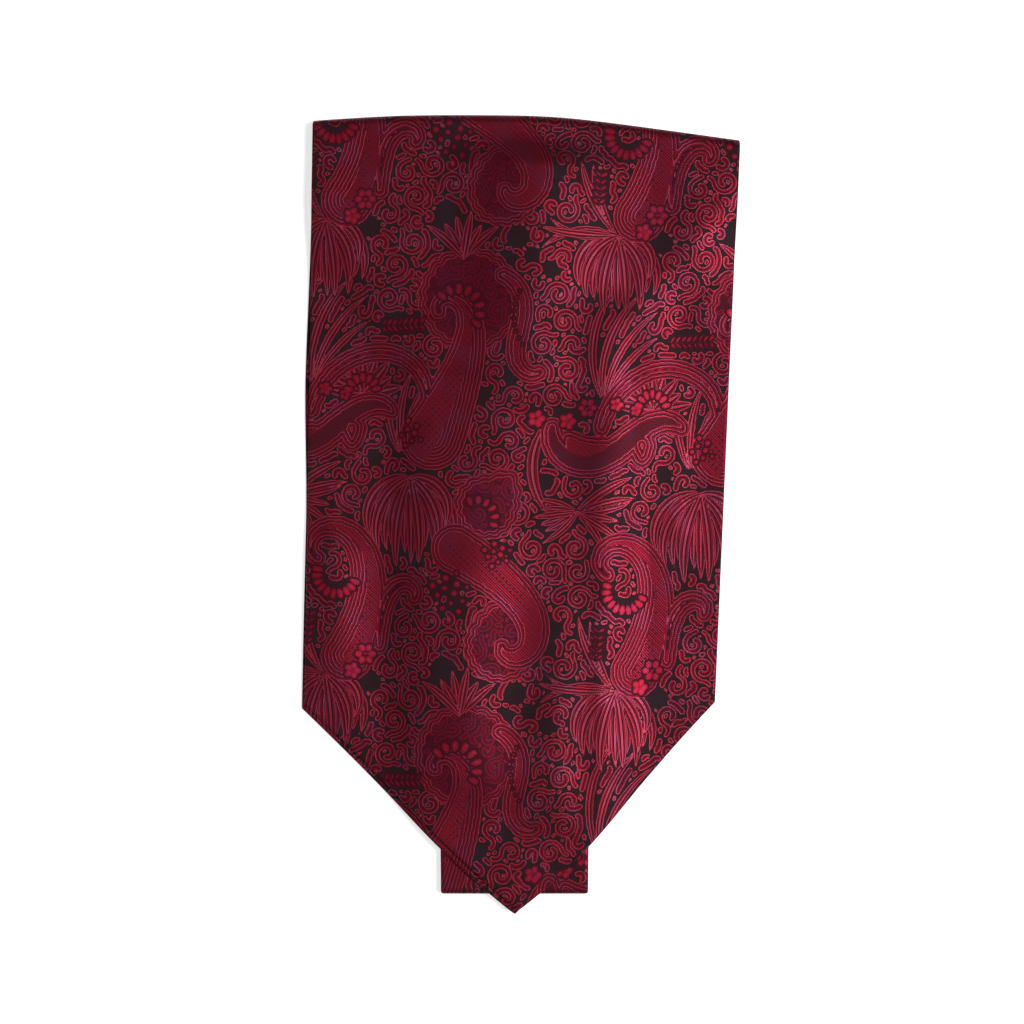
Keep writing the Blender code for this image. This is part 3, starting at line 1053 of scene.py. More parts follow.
@dataclass
class Filling:
    """The close curls, loops and seeds that fill the ground between the motifs without touching."""

    gap: float = 0.26
    part: int = 9
    node: float = 0.33
    step: float = 0.6
    radii: tuple[float, ...] = (1.15, 1.12, 1.08, 1.0, 0.92, 0.82, 0.70)
    starts: tuple[int, ...] = (1500, 1500, 1500, 1500, 1500, 1500, 1500)
    longest: int = 26
    shortest: tuple[int, ...] = (10, 8, 6, 5, 3, 2, 2)
    seed: int = 11
    halos = {
        Layer.PETAL_LOW: 0.35,
        Layer.PETAL_MIDDLE: 0.35,
        Layer.PETAL_HIGH: 0.35,
        Layer.BODY: 2.75,
        Layer.BEAD_A: 0.6,
        Layer.BEAD_B: 0.6,
    }

    def prepare(self, motifs: Sequence) -> None:
        """Lays a net of nodes over one repeat and measures the room round its motifs.

        Args:
            motifs: The motifs.
        """
        self.chance = np.random.default_rng(self.seed)
        self.counts = np.round(np.linalg.norm(REPEAT, axis=1) / self.node).astype(int)
        axes = (np.arange(count) + 0.5 for count in self.counts)
        nodes = np.stack(np.meshgrid(*axes, indexing="ij"), axis=2).reshape(-1, 2)
        self.ground = Figure(nodes / self.counts @ REPEAT)
        for motif in motifs:
            motif.draw(self.ground)
        self.room = np.minimum.reduce([self.ground.distance[layer] - halo for layer, halo in self.halos.items()])
        for x, y, radius in CLEARINGS:
            chosen, offset = self.ground.near(np.array((x, y)), radius + MARGIN)
            self.room[chosen] = np.minimum(self.room[chosen], np.hypot(*offset.T) - radius)
        self.parts: list[tuple[Array, Form, Layer]] = []

    def numbers(self, places: Array) -> Array:
        """The nodes nearest to some places.

        Args:
            places: The places on the cloth.

        Returns:
            The nodes' numbers.
        """
        spot = (places @ TO_SHARE % 1 * self.counts).astype(int)
        return spot[..., 0] * self.counts[1] + spot[..., 1]

    def keep(self, place: Array, form: Form) -> None:
        """Keeps a curl, cut into parts so that no layer has two edges close together.

        Args:
            place: Its middle.
            form: Its form.
        """
        numbers = self.numbers(place + form.spine)
        for start in range(0, max(1, len(form.spine) - 1), self.part):
            stretch = slice(start, start + self.part + 1)
            piece = Form(form.spine[stretch], form.radii[stretch])
            spots = numbers[stretch]
            layer = max(CURL_LAYERS, key=lambda each: self.ground.distance[each][spots].min())
            self.ground.draw(place, piece, layer)
            self.parts.append((place, piece, layer))
        chosen, offset = self.ground.near(place, form.reach + MARGIN)
        self.room[chosen] = np.minimum(self.room[chosen], form.distance(offset)[0])

    def grow(self, start: Array, radius: float, shortest: int) -> None:
        """Grows a strand from a free place, curling until it meets something, and keeps it if it is long enough.

        Args:
            start: Where it starts.
            radius: Half its width.
            shortest: Fewest points that are kept.
        """
        heading, hand = self.chance.random() * 2 * math.pi, self.chance.integers(2) * 2 - 1
        bend = hand * self.step / (radius + 0.5)
        spine = [start]
        for number in range(self.longest):
            ease = 1 - 0.85 * smooth((number - 6) / 9) - (1.2 if number > 17 else 0.0)
            for turn in (ease * bend, 1.6 * bend, 0.4 * bend, -0.4 * bend, -bend, -1.6 * bend):
                angle = heading + turn
                ahead = spine[-1] + np.array((math.cos(angle), math.sin(angle))) * self.step
                if self.room[self.numbers(ahead)] < radius + self.gap:
                    continue
                own = np.array(spine[: -math.ceil(4.2 * radius / self.step)] or [ahead + 99])
                if np.hypot(*(own - ahead).T).min() > 2 * radius + self.gap:
                    break
            else:
                break
            heading = angle
            spine.append(ahead)
        if len(spine) >= shortest:
            points = np.array(spine)
            self.keep(start, Form(points - start, np.full(len(points), radius)))

    def pack(self, motifs: Sequence) -> list[tuple[Array, Form, Layer]]:
        """Packs curls round the motifs of one repeat, then grows strands and seeds into the gaps.

        Args:
            motifs: The motifs.

        Returns:
            Each part's middle, its form and its layer.
        """
        self.prepare(motifs)
        for kind in CURLS:
            for _ in range(kind.tries):
                place, turn = self.chance.random(2) @ REPEAT, self.chance.random() * 2 * math.pi
                form = kind.form(turn, self.chance.integers(2) * 2 - 1)
                if (self.room[self.numbers(place + form.spine)] > form.radii + self.gap).all():
                    self.keep(place, form)
        for radius, count, shortest in zip(self.radii, self.starts, self.shortest):
            for _ in range(count):
                free = np.flatnonzero(
                    (self.room > radius + self.gap) & (self.room < radius + self.gap + 0.5)
                ) if _ % 50 == 0 else free
                if not len(free):
                    break
                node = free[int(self.chance.integers(len(free)))]
                if self.room[node] > radius + self.gap:
                    self.grow(self.ground.places[node], radius, shortest)
        return self.parts


FILLING = Filling().pack(FIGURE_REPEAT)


def add_figure(mesh: bpy.types.Mesh, places: Array) -> None:
    """Writes the figure's layers to a cloth mesh.

    Args:
        mesh: The cloth.
        places: Each point's place on the flat cloth, in millimetres.
    """
    figure = Figure(places)
    for motif in FIGURE_REPEAT:
        motif.draw(figure)
    for place, form, layer in FILLING:
        figure.draw(place, form, layer, CURL_MARGIN)
    values = {layer.value: figure.distance[layer] for layer in Layer}
    values.update({layer.value + "_side": side for layer, side in figure.side.items()})
    values.update({"satin": figure.satin, "nested": figure.nested})
    for name, numbers in values.items():
        mesh.attributes.new(name, "FLOAT", "POINT").data.foreach_set("value", numbers.astype(np.float32))


@dataclass(frozen=True)
class Cut:
    """What a piece of cloth was cut to, in metres and square metres, and what it lies on."""

    width: float
    length: float
    area: float
    rests_on: tuple[str, ...] = ()


def settle(
    piece: bpy.types.Object, node: str
) -> None:
    """Args:
        piece: The cloth's object.
        node: The solid that it stands for.
    """
    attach(piece, BODY)
    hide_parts(node)
    area = sum(face.area for face in piece.data.polygons)
    corners = sum(len(face.vertices) - 2 for face in piece.data.polygons)
    log.info("%s: %d triangles, cloth of %.4f square metres", piece.name, corners, area / 2)


@dataclass
class Blade:
    """A wide pointed end of the cravat, from its point up over the top fold."""

    name: str
    node: str
    slot: str
    outline: Outline
    surface: Callable[[Array, Array], Array]
    turn_radius: float
    columns: int
    rows: int
    cut: Cut
    turn_steps: int = 16
    left_show: float = 0.0
    show_start: float = 0.3
    bulges: tuple[float, float] = (0.0, 0.0)
    creases: tuple[Crease, ...] = ()

    def face_grid(self) -> tuple[Array, Array]:
        """The cloth's middle up to the end of the turn.

        Returns:
            The grid of points, and the columns' places across.
        """
        inner = self.outline.inset(LIE.wall / 2)
        shares = inner.columns(self.columns)
        up = np.linspace(0, 1, self.rows + 1)[:, None]
        foot_x, foot_y = inner.foot(shares, self.bulges)
        head_x = lerp(inner.top_left[0], inner.top_right[0], shares)
        swing = np.sin(np.pi * up) ** 2 * smooth(up / self.show_start - 1)
        x = lerp(foot_x, head_x, up) - self.left_show * swing * (1 - shares) ** 3
        y = lerp(foot_y, LIE.fold_y(head_x) - LIE.front_turn - LIE.wall / 2, up)
        z = self.surface(x, y)
        calm = smooth((LIE.fold_y(x) - y) / LIE.fold_calm - 0.3)
        for crease in self.creases:
            z = z + crease.height(x, y) * calm
        grid = np.stack((x, y, z), axis=2)
        angle = (np.pi * np.arange(1, self.turn_steps + 1) / self.turn_steps)[:, None]
        turned = np.empty((self.turn_steps, len(shares), 3))
        turned[..., 0] = x[-1]
        turned[..., 1] = y[-1] + self.turn_radius * np.sin(angle)
        turned[..., 2] = LIE.fold_middle_z + self.turn_radius * np.cos(angle)
        return np.concatenate((grid, turned)), shares

    def sheet(self) -> Sheet:
        """The blade as a sheet of cloth."""
        grid, _ = self.face_grid()
        return Sheet(grid, flat_places(grid))

    def build(self, material: bpy.types.Material) -> bpy.types.Object:
        """Makes the blade's shell and ties it to the frame.

        Args:
            material: The finish.

        Returns:
            The blade's object.
        """
        piece = ShellMaker(LIE.wall, self.lining_step()).build(self.name, self.sheet(), material)
        settle(piece, self.node)
        return piece

    def lining_step(self) -> int:
        """Steps of the face to one step of the hidden side."""
        return 1


@dataclass
class FrontBlade(Blade):
    """The upper blade, with its return under the fold, drawn in by pleats."""

    return_rows: int = 24
    pleat_shares: tuple[float, ...] = (3 / 26, 6 / 26, 9 / 26, 17 / 26, 20 / 26, 23 / 26)
    pleat_depth: float = 0.5
    pleat_reach: float = 3.4
    lip: float = 0.7

    def lining_step(self) -> int:
        """Steps of the face to one step of the hidden side."""
        return 4

    def return_grid(self, fold_line: Array, shares: Array) -> Array:
        """The cloth under the fold, drawn in to the neckband's width.

        Args:
            fold_line: The last row of the turn.
            shares: The columns' places across.

        Returns:
            The grid of points below the fold.
        """
        down = (np.arange(1, self.return_rows + 1) / self.return_rows)[:, None]
        end_y = LIE.throat_y + LIE.seam_gap / 2 + LIE.wall / 2
        y = lerp(fold_line[:, 1], end_y, down)
        half = LIE.return_half_width(y) - LIE.wall / 2
        drawn = smooth(down / LIE.return_turn_in)
        x = lerp(fold_line[:, 0], LIE.return_middle_x(y) + half * (2 * shares - 1), drawn)
        return np.stack((x, y, np.broadcast_to(fold_line[:, 2], y.shape)), axis=2)

    def sheet(self) -> Sheet:
        """The blade, its turn and its return as one sheet, with the pleats' tucks."""
        grid, shares = self.face_grid()
        under = self.return_grid(grid[-1], shares)
        middle = np.concatenate((grid, under))
        flat = flat_places(middle)
        turned = len(grid)
        groove = np.zeros(middle.shape[:2])
        drawn = smooth(np.arange(1, self.return_rows + 1) / self.return_rows)[:, None]
        panel = np.searchsorted(self.pleat_shares, shares, side="right")
        for number in range(len(self.pleat_shares) + 1):
            inside = np.flatnonzero(panel == number)
            centre = inside[len(inside) // 2]
            run = under[:, inside, 0] - under[:, centre : centre + 1, 0]
            flat[turned:, inside, 0] = flat[turned - 1, centre, 0] + run
        for share in self.pleat_shares:
            column = int(np.argmin(np.abs(shares - share)))
            side = 1 if share < self.outline.tip_share else -1
            away = (under[..., 0] - under[:, column : column + 1, 0]) * side
            tuck = np.where(away >= 0, np.exp(-away / self.pleat_reach), smooth(1 + away / self.lip))
            groove[turned:] = np.maximum(groove[turned:], self.pleat_depth * drawn * tuck)
        return Sheet(middle, flat, groove)


@dataclass
class Neckband:
    """The narrow pleated band: its upper run, the fold at its middle and its lower run."""

    name: str = "neckband_cloth"
    columns: int = 64
    run_rows: int = 216
    turn_steps: int = 12
    seam_depth: float = 0.45
    seam_width: float = 0.9
    cut: Cut = Cut(0.058, 0.397, 0.0226)

    def sheet(self) -> Sheet:
        """The band as one sheet, with the closing seam's groove along its underside."""
        lower, upper = LIE.band_wall / 2, LIE.band_wall / 2 + LIE.band_step
        radius = LIE.band_step / 2
        head_y = LIE.throat_y - LIE.seam_gap / 2 - LIE.band_wall / 2
        turn_y = LIE.band_fold_y + radius + LIE.band_wall / 2
        run = np.linspace(head_y, turn_y, self.run_rows + 1)
        angle = np.pi * np.arange(1, self.turn_steps) / self.turn_steps
        y = np.concatenate((run, turn_y - radius * np.sin(angle), run[::-1]))
        z = np.concatenate(
            (np.full(run.shape, upper), (lower + upper) / 2 + radius * np.cos(angle), np.full(run.shape, lower))
        )
        taper = smooth((y - LIE.band_fold_y) / LIE.band_taper)
        width = lerp(LIE.band_end_half_width, LIE.band_half_width, taper) - LIE.band_wall / 2
        across = 1 - 2 * np.arange(self.columns + 1) / self.columns
        x = LIE.band_middle_x + width[:, None] * across
        middle = np.stack((x, np.broadcast_to(y[:, None], x.shape), np.broadcast_to(z[:, None], x.shape)), axis=2)
        flat = flat_places(middle)
        flat[..., 0] = 2 * LIE.band_middle_x - flat[..., 0]
        flat[..., 1] = LIE.band_fold_y - (flat[..., 1] - flat[self.run_rows, 0, 1])
        groove = np.zeros(x.shape)
        under = self.run_rows + self.turn_steps
        away = (x[under:] - LIE.band_middle_x) / self.seam_width
        groove[under:] = self.seam_depth * np.exp(-away * away) * smooth((y[under:, None] - LIE.band_fold_y - 4) / 8)
        return Sheet(middle, flat, groove)

    def build(self, material: bpy.types.Material, stitches: bpy.types.Object) -> bpy.types.Object:
        """Makes the band's shell and ties it to the frame.

        Args:
            material: The finish.
            stitches: The stitches that close it; not used.

        Returns:
            The band's object.
        """
        piece = ShellMaker(LIE.band_wall).build(self.name, self.sheet(), material)
        settle(piece, "neckband")
        return piece


@dataclass
class PleatLayers:
    """The hidden layers between the return and the back blade, in one rounded form with grooved edges."""

    name: str = "pleat_layers"
    columns: int = 72
    rows: int = 36
    plies: int = 2
    inset: float = 1.4
    bulge: float = 0.35
    gap: float = 0.75
    edge_steps: int = 6
    cut: Cut = Cut(0.160, 0.100, 0.0118, ("front_blade", "neckband"))

    def build(self, material: bpy.types.Material) -> bpy.types.Object:
        """Makes the layers and ties them to the frame.

        Args:
            material: The finish.

        Returns:
            The layers' object.
        """
        across = np.linspace(-1, 1, self.columns + 1)
        up = np.linspace(0, 1, self.rows + 1)[:, None]
        foot_y = LIE.throat_y + LIE.seam_gap / 2 + 2 * self.bulge
        head_x = LIE.return_middle_x(LIE.fold_top_y) + across * LIE.return_half_width(LIE.fold_top_y)
        y = lerp(foot_y, LIE.fold_y(head_x) - LIE.front_turn - LIE.wall - self.inset, up)
        x = LIE.return_middle_x(y) + across * (LIE.return_half_width(y) - self.inset - 2 * self.bulge)
        top = np.stack((x, y, LIE.lift(x, y) - self.gap), axis=2)
        bottom = np.stack((x, y, np.full(x.shape, LIE.step)), axis=2)
        place_r, place_c = rim_places(self.rows, self.columns)
        upper, lower = top[place_r, place_c], bottom[place_r, place_c]
        tangent = np.roll(lower, -1, axis=0) - np.roll(lower, 1, axis=0)
        outward = np.stack((tangent[:, 1], -tangent[:, 0], np.zeros(len(tangent))), axis=1)
        outward /= np.linalg.norm(outward, axis=1, keepdims=True)
        points, ring_size = [top.reshape(-1, 3)], len(place_r)
        rings = [place_r * (self.columns + 1) + place_c]
        steps = self.plies * self.edge_steps
        for number in range(1, steps):
            out = self.bulge * (1 + abs(math.sin(math.pi * number / self.edge_steps)))
            rings.append(top[..., 0].size + (number - 1) * ring_size + np.arange(ring_size))
            points.append(lerp(upper, lower, number / steps) + outward * out)
        behind = top[..., 0].size + (steps - 1) * ring_size
        rings.append(behind + rings[0])
        points.append(bottom.reshape(-1, 3))
        faces = grid_faces(self.rows, self.columns, 0, False).tolist()
        faces += grid_faces(self.rows, self.columns, behind, True).tolist()
        for high, low in zip(rings, rings[1:]):
            faces += np.stack((high, low, np.roll(low, -1), np.roll(high, -1)), axis=1).tolist()
        points = np.concatenate(points)
        piece = cloth_object(self.name, points, faces, points[:, :2] + points[:, 2:] * 0.9, material)
        settle(piece, "pleat_stack")
        return piece


class Value:
    """A number that nodes work out, so that a pattern reads as plain sums."""

    def __init__(self, tree: bpy.types.NodeTree, socket: bpy.types.NodeSocket) -> None:
        """Holds a node's output.

        Args:
            tree: The tree that the nodes are in.
            socket: The output.
        """
        self.tree = tree
        self.socket = socket

    def math(self, operation: str, *others: "Value | float", clamp: bool = False) -> "Value":
        """Adds a Math node.

        Args:
            operation: The node's operation.
            others: Its other inputs.
            clamp: True to hold the result between 0 and 1.

        Returns:
            The node's output.
        """
        node = self.tree.nodes.new("ShaderNodeMath")
        node.operation, node.use_clamp = operation, clamp
        for index, value in enumerate((self, *others)):
            plug(self.tree, node.inputs[index], value)
        return Value(self.tree, node.outputs[0])

    def __add__(self, other: "Value | float") -> "Value":
        """The sum."""
        return self.math("ADD", other)

    def __sub__(self, other: "Value | float") -> "Value":
        """The difference."""
        return self.math("SUBTRACT", other)

    def __mul__(self, other: "Value | float") -> "Value":
        """The product."""
        return self.math("MULTIPLY", other)

    def __truediv__(self, other: "Value | float") -> "Value":
        """The quotient."""
        return self.math("DIVIDE", other)

    def __neg__(self) -> "Value":
        """The negative."""
        return self.math("MULTIPLY", -1.0)

    def fraction(self) -> "Value":
        """What is left over a whole number."""
        return self.math("FRACT")

    def step(self, low: "Value | float", high: "Value | float") -> "Value":
        """Eases from 0 at low to 1 at high.

        Args:
            low: Where it is 0.
            high: Where it is 1.

        Returns:
            The eased share.
        """
        node = self.tree.nodes.new("ShaderNodeMapRange")
        node.interpolation_type = "SMOOTHSTEP"
        for name, value in (("Value", self), ("From Min", low), ("From Max", high)):
            plug(self.tree, node.inputs[name], value)
        return Value(self.tree, node.outputs["Result"])

    def towards(self, other: "Value | float", share: "Value | float") -> "Value":
        """Mixes towards another value.

        Args:
            other: The value at share 1.
            share: Share of the way.

        Returns:
            The mix.
        """
        node = self.tree.nodes.new("ShaderNodeMix")
        node.data_type = "FLOAT"
        for name, value in (("Factor", share), ("A", self), ("B", other)):
            plug(self.tree, node.inputs[name], value)
        return Value(self.tree, node.outputs[0])


def plug(tree: bpy.types.NodeTree, socket: bpy.types.NodeSocket, value: "Value | bpy.types.NodeSocket | float") -> None:
    """Sets an input to a number, or joins it to an output.

    Args:
        tree: The tree.
        socket: The input.
        value: A number or an output.
    """
    if isinstance(value, Value):
        tree.links.new(value.socket, socket)
    elif isinstance(value, bpy.types.NodeSocket):
        tree.links.new(value, socket)
    else:
        socket.default_value = value


@dataclass(frozen=True)
class SilkTones:
    """The weave's tones along one scale, from bare ground to the brightest thread."""

    ground: float = 0.0
    line: float = 0.06
    shade: float = 0.26
    core: float = 0.52
    bright: float = 0.78
    light: float = 1.0


@dataclass(frozen=True)
class FigureNodes:
    """The node group that weaves the figure from its layers of distances."""

    tones: SilkTones = SilkTones()
    halo: float = 2.7
    veins: float = 1.16
    hole_spacing: float = 2.7
    dash_spacing: float = 0.62
    flicker: float = 0.22
    twill_spacing: float = 0.78
    twill_depth: float = 0.20
    satin_tone: float = 0.74
    dark_tone: float = 0.40
    hatch_depth: float = 0.97
    inputs = (("Line spacing", 1.35), ("Hatch spacing", 1.15), ("Unevenness", 0.52))

    def layer(self, tree: bpy.types.NodeTree, *names: str) -> Value:
        """Reads the nearest edge among some of the cloth's layers.

        Args:
            tree: The tree.
            names: The layers' names.

        Returns:
            The distance from it, negative inside.
        """
        nearest = None
        for name in names:
            node = tree.nodes.new("ShaderNodeAttribute")
            node.attribute_name = name
            value = Value(tree, node.outputs["Fac"])
            nearest = value if nearest is None else nearest.math("MINIMUM", value)
        return nearest

    def lines(self, phase: Value, core: "Value | float") -> Value:
        """Nested lines: a light thread, a dark gap and a core, over and over.

        Args:
            phase: Counts the lines inwards from an outline.
            core: Tone of the cores.

        Returns:
            The tone.
        """
        part = phase.fraction()
        dark = part.step(0.62, 0.72)
        light = part.step(0.26, 0.17)
        return self.over(core, light, dark)

    def over(self, core: "Value | float", light: Value, dark: Value) -> Value:
        """Lays a dark line and then a light one over a core.

        Args:
            core: Tone of the core.
            light: Where the light thread runs.
            dark: Where the dark gap runs.

        Returns:
            The tone.
        """
        base = dark * 0.0 + core
        return base.towards(self.tones.line, dark).towards(self.tones.light, light)

    def noise(self, tree: bpy.types.NodeTree, place: bpy.types.NodeSocket, scale: float) -> Value:
        """Soft noise over the flat cloth.

        Args:
            tree: The tree.
            place: The place on the cloth, in millimetres.
            scale: Lumps to a millimetre.

        Returns:
            The noise, about 0.
        """
        node = tree.nodes.new("ShaderNodeTexNoise")
        node.noise_dimensions = "2D"
        tree.links.new(place, node.inputs["Vector"])
        node.inputs["Scale"].default_value = scale
        node.inputs["Detail"].default_value = 0.0
        return Value(tree, node.outputs[0]) - 0.5

    def build(self) -> bpy.types.NodeTree:
        """Makes the group.

        Returns:
            The group, with outputs Tone and Tint.
        """
        tree = bpy.data.node_groups.new("figured weave", "ShaderNodeTree")
        for name, value in self.inputs:
            tree.interface.new_socket(name, in_out="INPUT", socket_type="NodeSocketFloat").default_value = value
        for name in ("Tone", "Tint"):
            tree.interface.new_socket(name, in_out="OUTPUT", socket_type="NodeSocketFloat")
        given = tree.nodes.new("NodeGroupInput")
        pitch, spacing, unevenness = (Value(tree, given.outputs[name]) for name, _ in self.inputs)
        uv = tree.nodes.new("ShaderNodeUVMap")
        uv.uv_map = CLOTH_MAP
        place = tree.nodes.new("ShaderNodeVectorMath")
        place.operation = "SCALE"
        tree.links.new(uv.outputs[0], place.inputs[0])
        place.inputs["Scale"].default_value = 1 / MM
        split = tree.nodes.new("ShaderNodeSeparateXYZ")
        tree.links.new(place.outputs[0], split.inputs[0])
        across, along = Value(tree, split.outputs[0]), Value(tree, split.outputs[1])
        twill = ((across + along) / spacing).fraction()
        hatch = twill.step(0.10, 0.26) * twill.step(0.66, 0.50)
        wobble = self.noise(tree, place.outputs[0], 0.42) * unevenness
        drift = self.noise(tree, place.outputs[0], 0.06)
        tone = self.filling(tree, wobble, drift, hatch)
        dash = ((across - along) / self.dash_spacing).fraction().step(0.15, 0.35)
        tone = self.drops(tree, tone, wobble, hatch, pitch)
        for layer in PETAL_LAYERS:
            petal = self.layer(tree, layer.value) + wobble * 0.6
            side = self.layer(tree, layer.value + "_side").math("ABSOLUTE")
            leaf = self.lines((side * -1.0 + 1.0) * self.veins + 0.08, drift * 0.3 + self.tones.core)
            leaf = leaf.towards(self.tones.light, petal.step(-0.36, -0.26))
            leaf = leaf.towards(self.tones.line, petal.step(-0.08, 0.02))
            tone = tone.towards(leaf, petal.step(0.26, 0.16))
        tone = self.paisleys(tree, tone, wobble, hatch, pitch, (across, along))
        bead = self.layer(tree, *(layer.value for layer in BEAD_LAYERS)) + wobble * 0.6
        tone = tone.towards(self.tones.line, bead.step(0.65, 0.45))
        seed = hatch * -0.16 + bead.step(-0.1, -1.0) * 0.22 + self.tones.bright - 0.1
        tone = tone.towards(seed, bead.step(-0.02, -0.2))
        out = tree.nodes.new("NodeGroupOutput")
        flicker = (dash * -1.0 + 1.0) * tone.step(0.82, 0.98) * self.flicker
        fine = ((across + along) / self.twill_spacing).fraction()
        grain = fine.step(0.2, 0.5) * fine.step(1.0, 0.7)
        plug(tree, out.inputs["Tone"], (tone - flicker) * (grain * -self.twill_depth + 1.0))
        plug(tree, out.inputs["Tint"], self.noise(tree, place.outputs[0], 0.09).step(-0.02, 0.20))
        return tree

    def filling(self, tree: bpy.types.NodeTree, wobble: Value, drift: Value, hatch: Value) -> Value:
        """The dark ground with its curls.

        Args:
            tree: The tree.
            wobble: Unevenness of the lines.
            drift: Slow change of the cores' tone.
            hatch: The twill's lines.

        Returns:
            The tone.
        """
        curl, side = None, None
        for layer in CURL_LAYERS:
            distance, aside = self.layer(tree, layer.value), self.layer(tree, layer.value + "_side")
            if curl is None:
                curl, side = distance, aside
            else:
                side = side.towards(aside, distance.math("LESS_THAN", curl))
                curl = curl.math("MINIMUM", distance)
        depth = curl * -1.0 - wobble * 0.5
        vein = side.math("ABSOLUTE").step(0.26, 0.14) * depth.step(0.42, 0.56)
        strand = self.over(drift * 0.4 + self.tones.core, depth.step(0.40, 0.30), vein)
        return (hatch * 0.05).towards(strand, depth.step(-0.02, 0.08))

    def drops(self, tree: bpy.types.NodeTree, tone: Value, wobble: Value, hatch: Value, pitch: Value) -> Value:
        """Scalloped drops: a wavy double border round a dark hatched field.

        Args:
            tree: The tree.
            tone: The tone below.
            wobble: Unevenness of the lines.
            hatch: The twill's lines.
            pitch: Line spacing.

        Returns:
            The tone with the drops.
        """
        back = self.layer(tree, Layer.BACK.value) + wobble
        rim = self.lines((-back + 2.4) / pitch, self.tones.core)
        dark = tone * 0.35 + hatch * -0.2 + self.tones.shade
        return tone.towards(rim.towards(dark, back.step(-0.9, -1.1)), back.step(2.5, 2.35))

    def paisleys(
        self,
        tree: bpy.types.NodeTree,
        tone: Value,
        wobble: Value,
        hatch: Value,
        pitch: Value,
        place: tuple[Value, Value],
    ) -> Value:
        """Paisleys: lines round a satin, dark or lined field, with rows of small holes in the satin.

        Args:
            tree: The tree.
            tone: The tone below.
            wobble: Unevenness of the lines.
            hatch: The twill's lines.
            pitch: Line spacing.
            place: Places across and along the cloth.

        Returns:
            The tone with the paisleys.
        """
        tones, (across, along) = self.tones, place
        body = self.layer(tree, Layer.BODY.value) + wobble
        satin, nested = self.layer(tree, "satin"), self.layer(tree, "nested")
        outline = self.lines((-body + self.halo) / pitch, tones.core)
        field_tone = (satin * (self.satin_tone - self.dark_tone) + self.dark_tone) * (hatch * -self.hatch_depth + 1.0)
        hole_x = ((across + along) / self.hole_spacing).fraction() - 0.5
        hole_y = ((across - along) / self.hole_spacing).fraction() - 0.5
        hole = (hole_x * hole_x + hole_y * hole_y).step(0.040, 0.018) * body.step(-3.2, -3.6) * satin
        field_tone = field_tone.towards(tones.line, hole)
        inside = body.step(-0.58, -0.74) * nested.step(0.56, 0.44)
        return tone.towards(outline.towards(field_tone, inside), body.step(self.halo + 0.05, self.halo - 0.1))


@dataclass(frozen=True)
class FiguredSilk:
    """Figured silk: satin threads over a dark ground."""

    name: str
    line_spacing: float = 1.35
    hatch_spacing: float = 1.15
    unevenness: float = 0.52
    ground: tuple[float, float, float] = (0.0070, 0.0062, 0.0068)
    line: tuple[float, float, float] = (0.0320, 0.0014, 0.0052)
    shade: tuple[float, float, float] = (0.048, 0.0026, 0.0090)
    core: tuple[float, float, float] = (0.104, 0.0036, 0.0110)
    bright: tuple[float, float, float] = (0.190, 0.0058, 0.0180)
    light: tuple[float, float, float] = (0.168, 0.0340, 0.0500)
    tint: tuple[float, float, float] = (0.95, 1.35, 1.40)
    ground_roughness: float = 0.55
    figure_roughness: float = 0.42
    metal: float = 0.8
    gloss: float = 0.05
    relief: float = 0.00005

    def build(self, weave: bpy.types.NodeTree) -> bpy.types.Material:
        """Makes the material.

        Args:
            weave: The figure's node group.

        Returns:
            The material.
        """
        material = bpy.data.materials.new(self.name)
        material.use_nodes = True
        tree = material.node_tree
        shader = tree.nodes["Principled BSDF"]
        group = tree.nodes.new("ShaderNodeGroup")
        group.node_tree = weave
        given = (self.line_spacing, self.hatch_spacing, self.unevenness)
        for (name, _), value in zip(FigureNodes.inputs, given):
            group.inputs[name].default_value = value
        tone = Value(tree, group.outputs["Tone"])
        ramp = tree.nodes.new("ShaderNodeValToRGB")
        tones = SilkTones()
        stops = (
            (tones.ground, self.ground),
            (tones.line, self.line),
            (tones.shade, self.shade),
            (tones.core, self.core),
            (tones.bright, self.bright),
            (tones.light, self.light),
        )
        elements = ramp.color_ramp.elements
        while len(elements) < len(stops):
            elements.new(0.5)
        for element, (place, colour) in zip(elements, stops):
            element.position = place
            element.color = (*colour, 1)
        plug(tree, ramp.inputs[0], tone)
        tinted = tree.nodes.new("ShaderNodeMix")
        tinted.data_type, tinted.blend_type = "RGBA", "MULTIPLY"
        tree.links.new(group.outputs["Tint"], tinted.inputs["Factor"])
        tree.links.new(ramp.outputs[0], tinted.inputs[6])
        tinted.inputs[7].default_value = (*self.tint, 1)
        tree.links.new(tinted.outputs[2], shader.inputs["Base Color"])
        rough = tone * (self.figure_roughness - self.ground_roughness) + self.ground_roughness
        plug(tree, shader.inputs["Roughness"], rough)
        plug(tree, shader.inputs["Metallic"], (tone * 1.6).math("MINIMUM", 1.0) * self.metal)
        shader.inputs["Specular IOR Level"].default_value = self.gloss
        bump = tree.nodes.new("ShaderNodeBump")
        bump.inputs["Distance"].default_value = self.relief
        plug(tree, bump.inputs["Height"], tone)
        tree.links.new(bump.outputs[0], shader.inputs["Normal"])
        return material


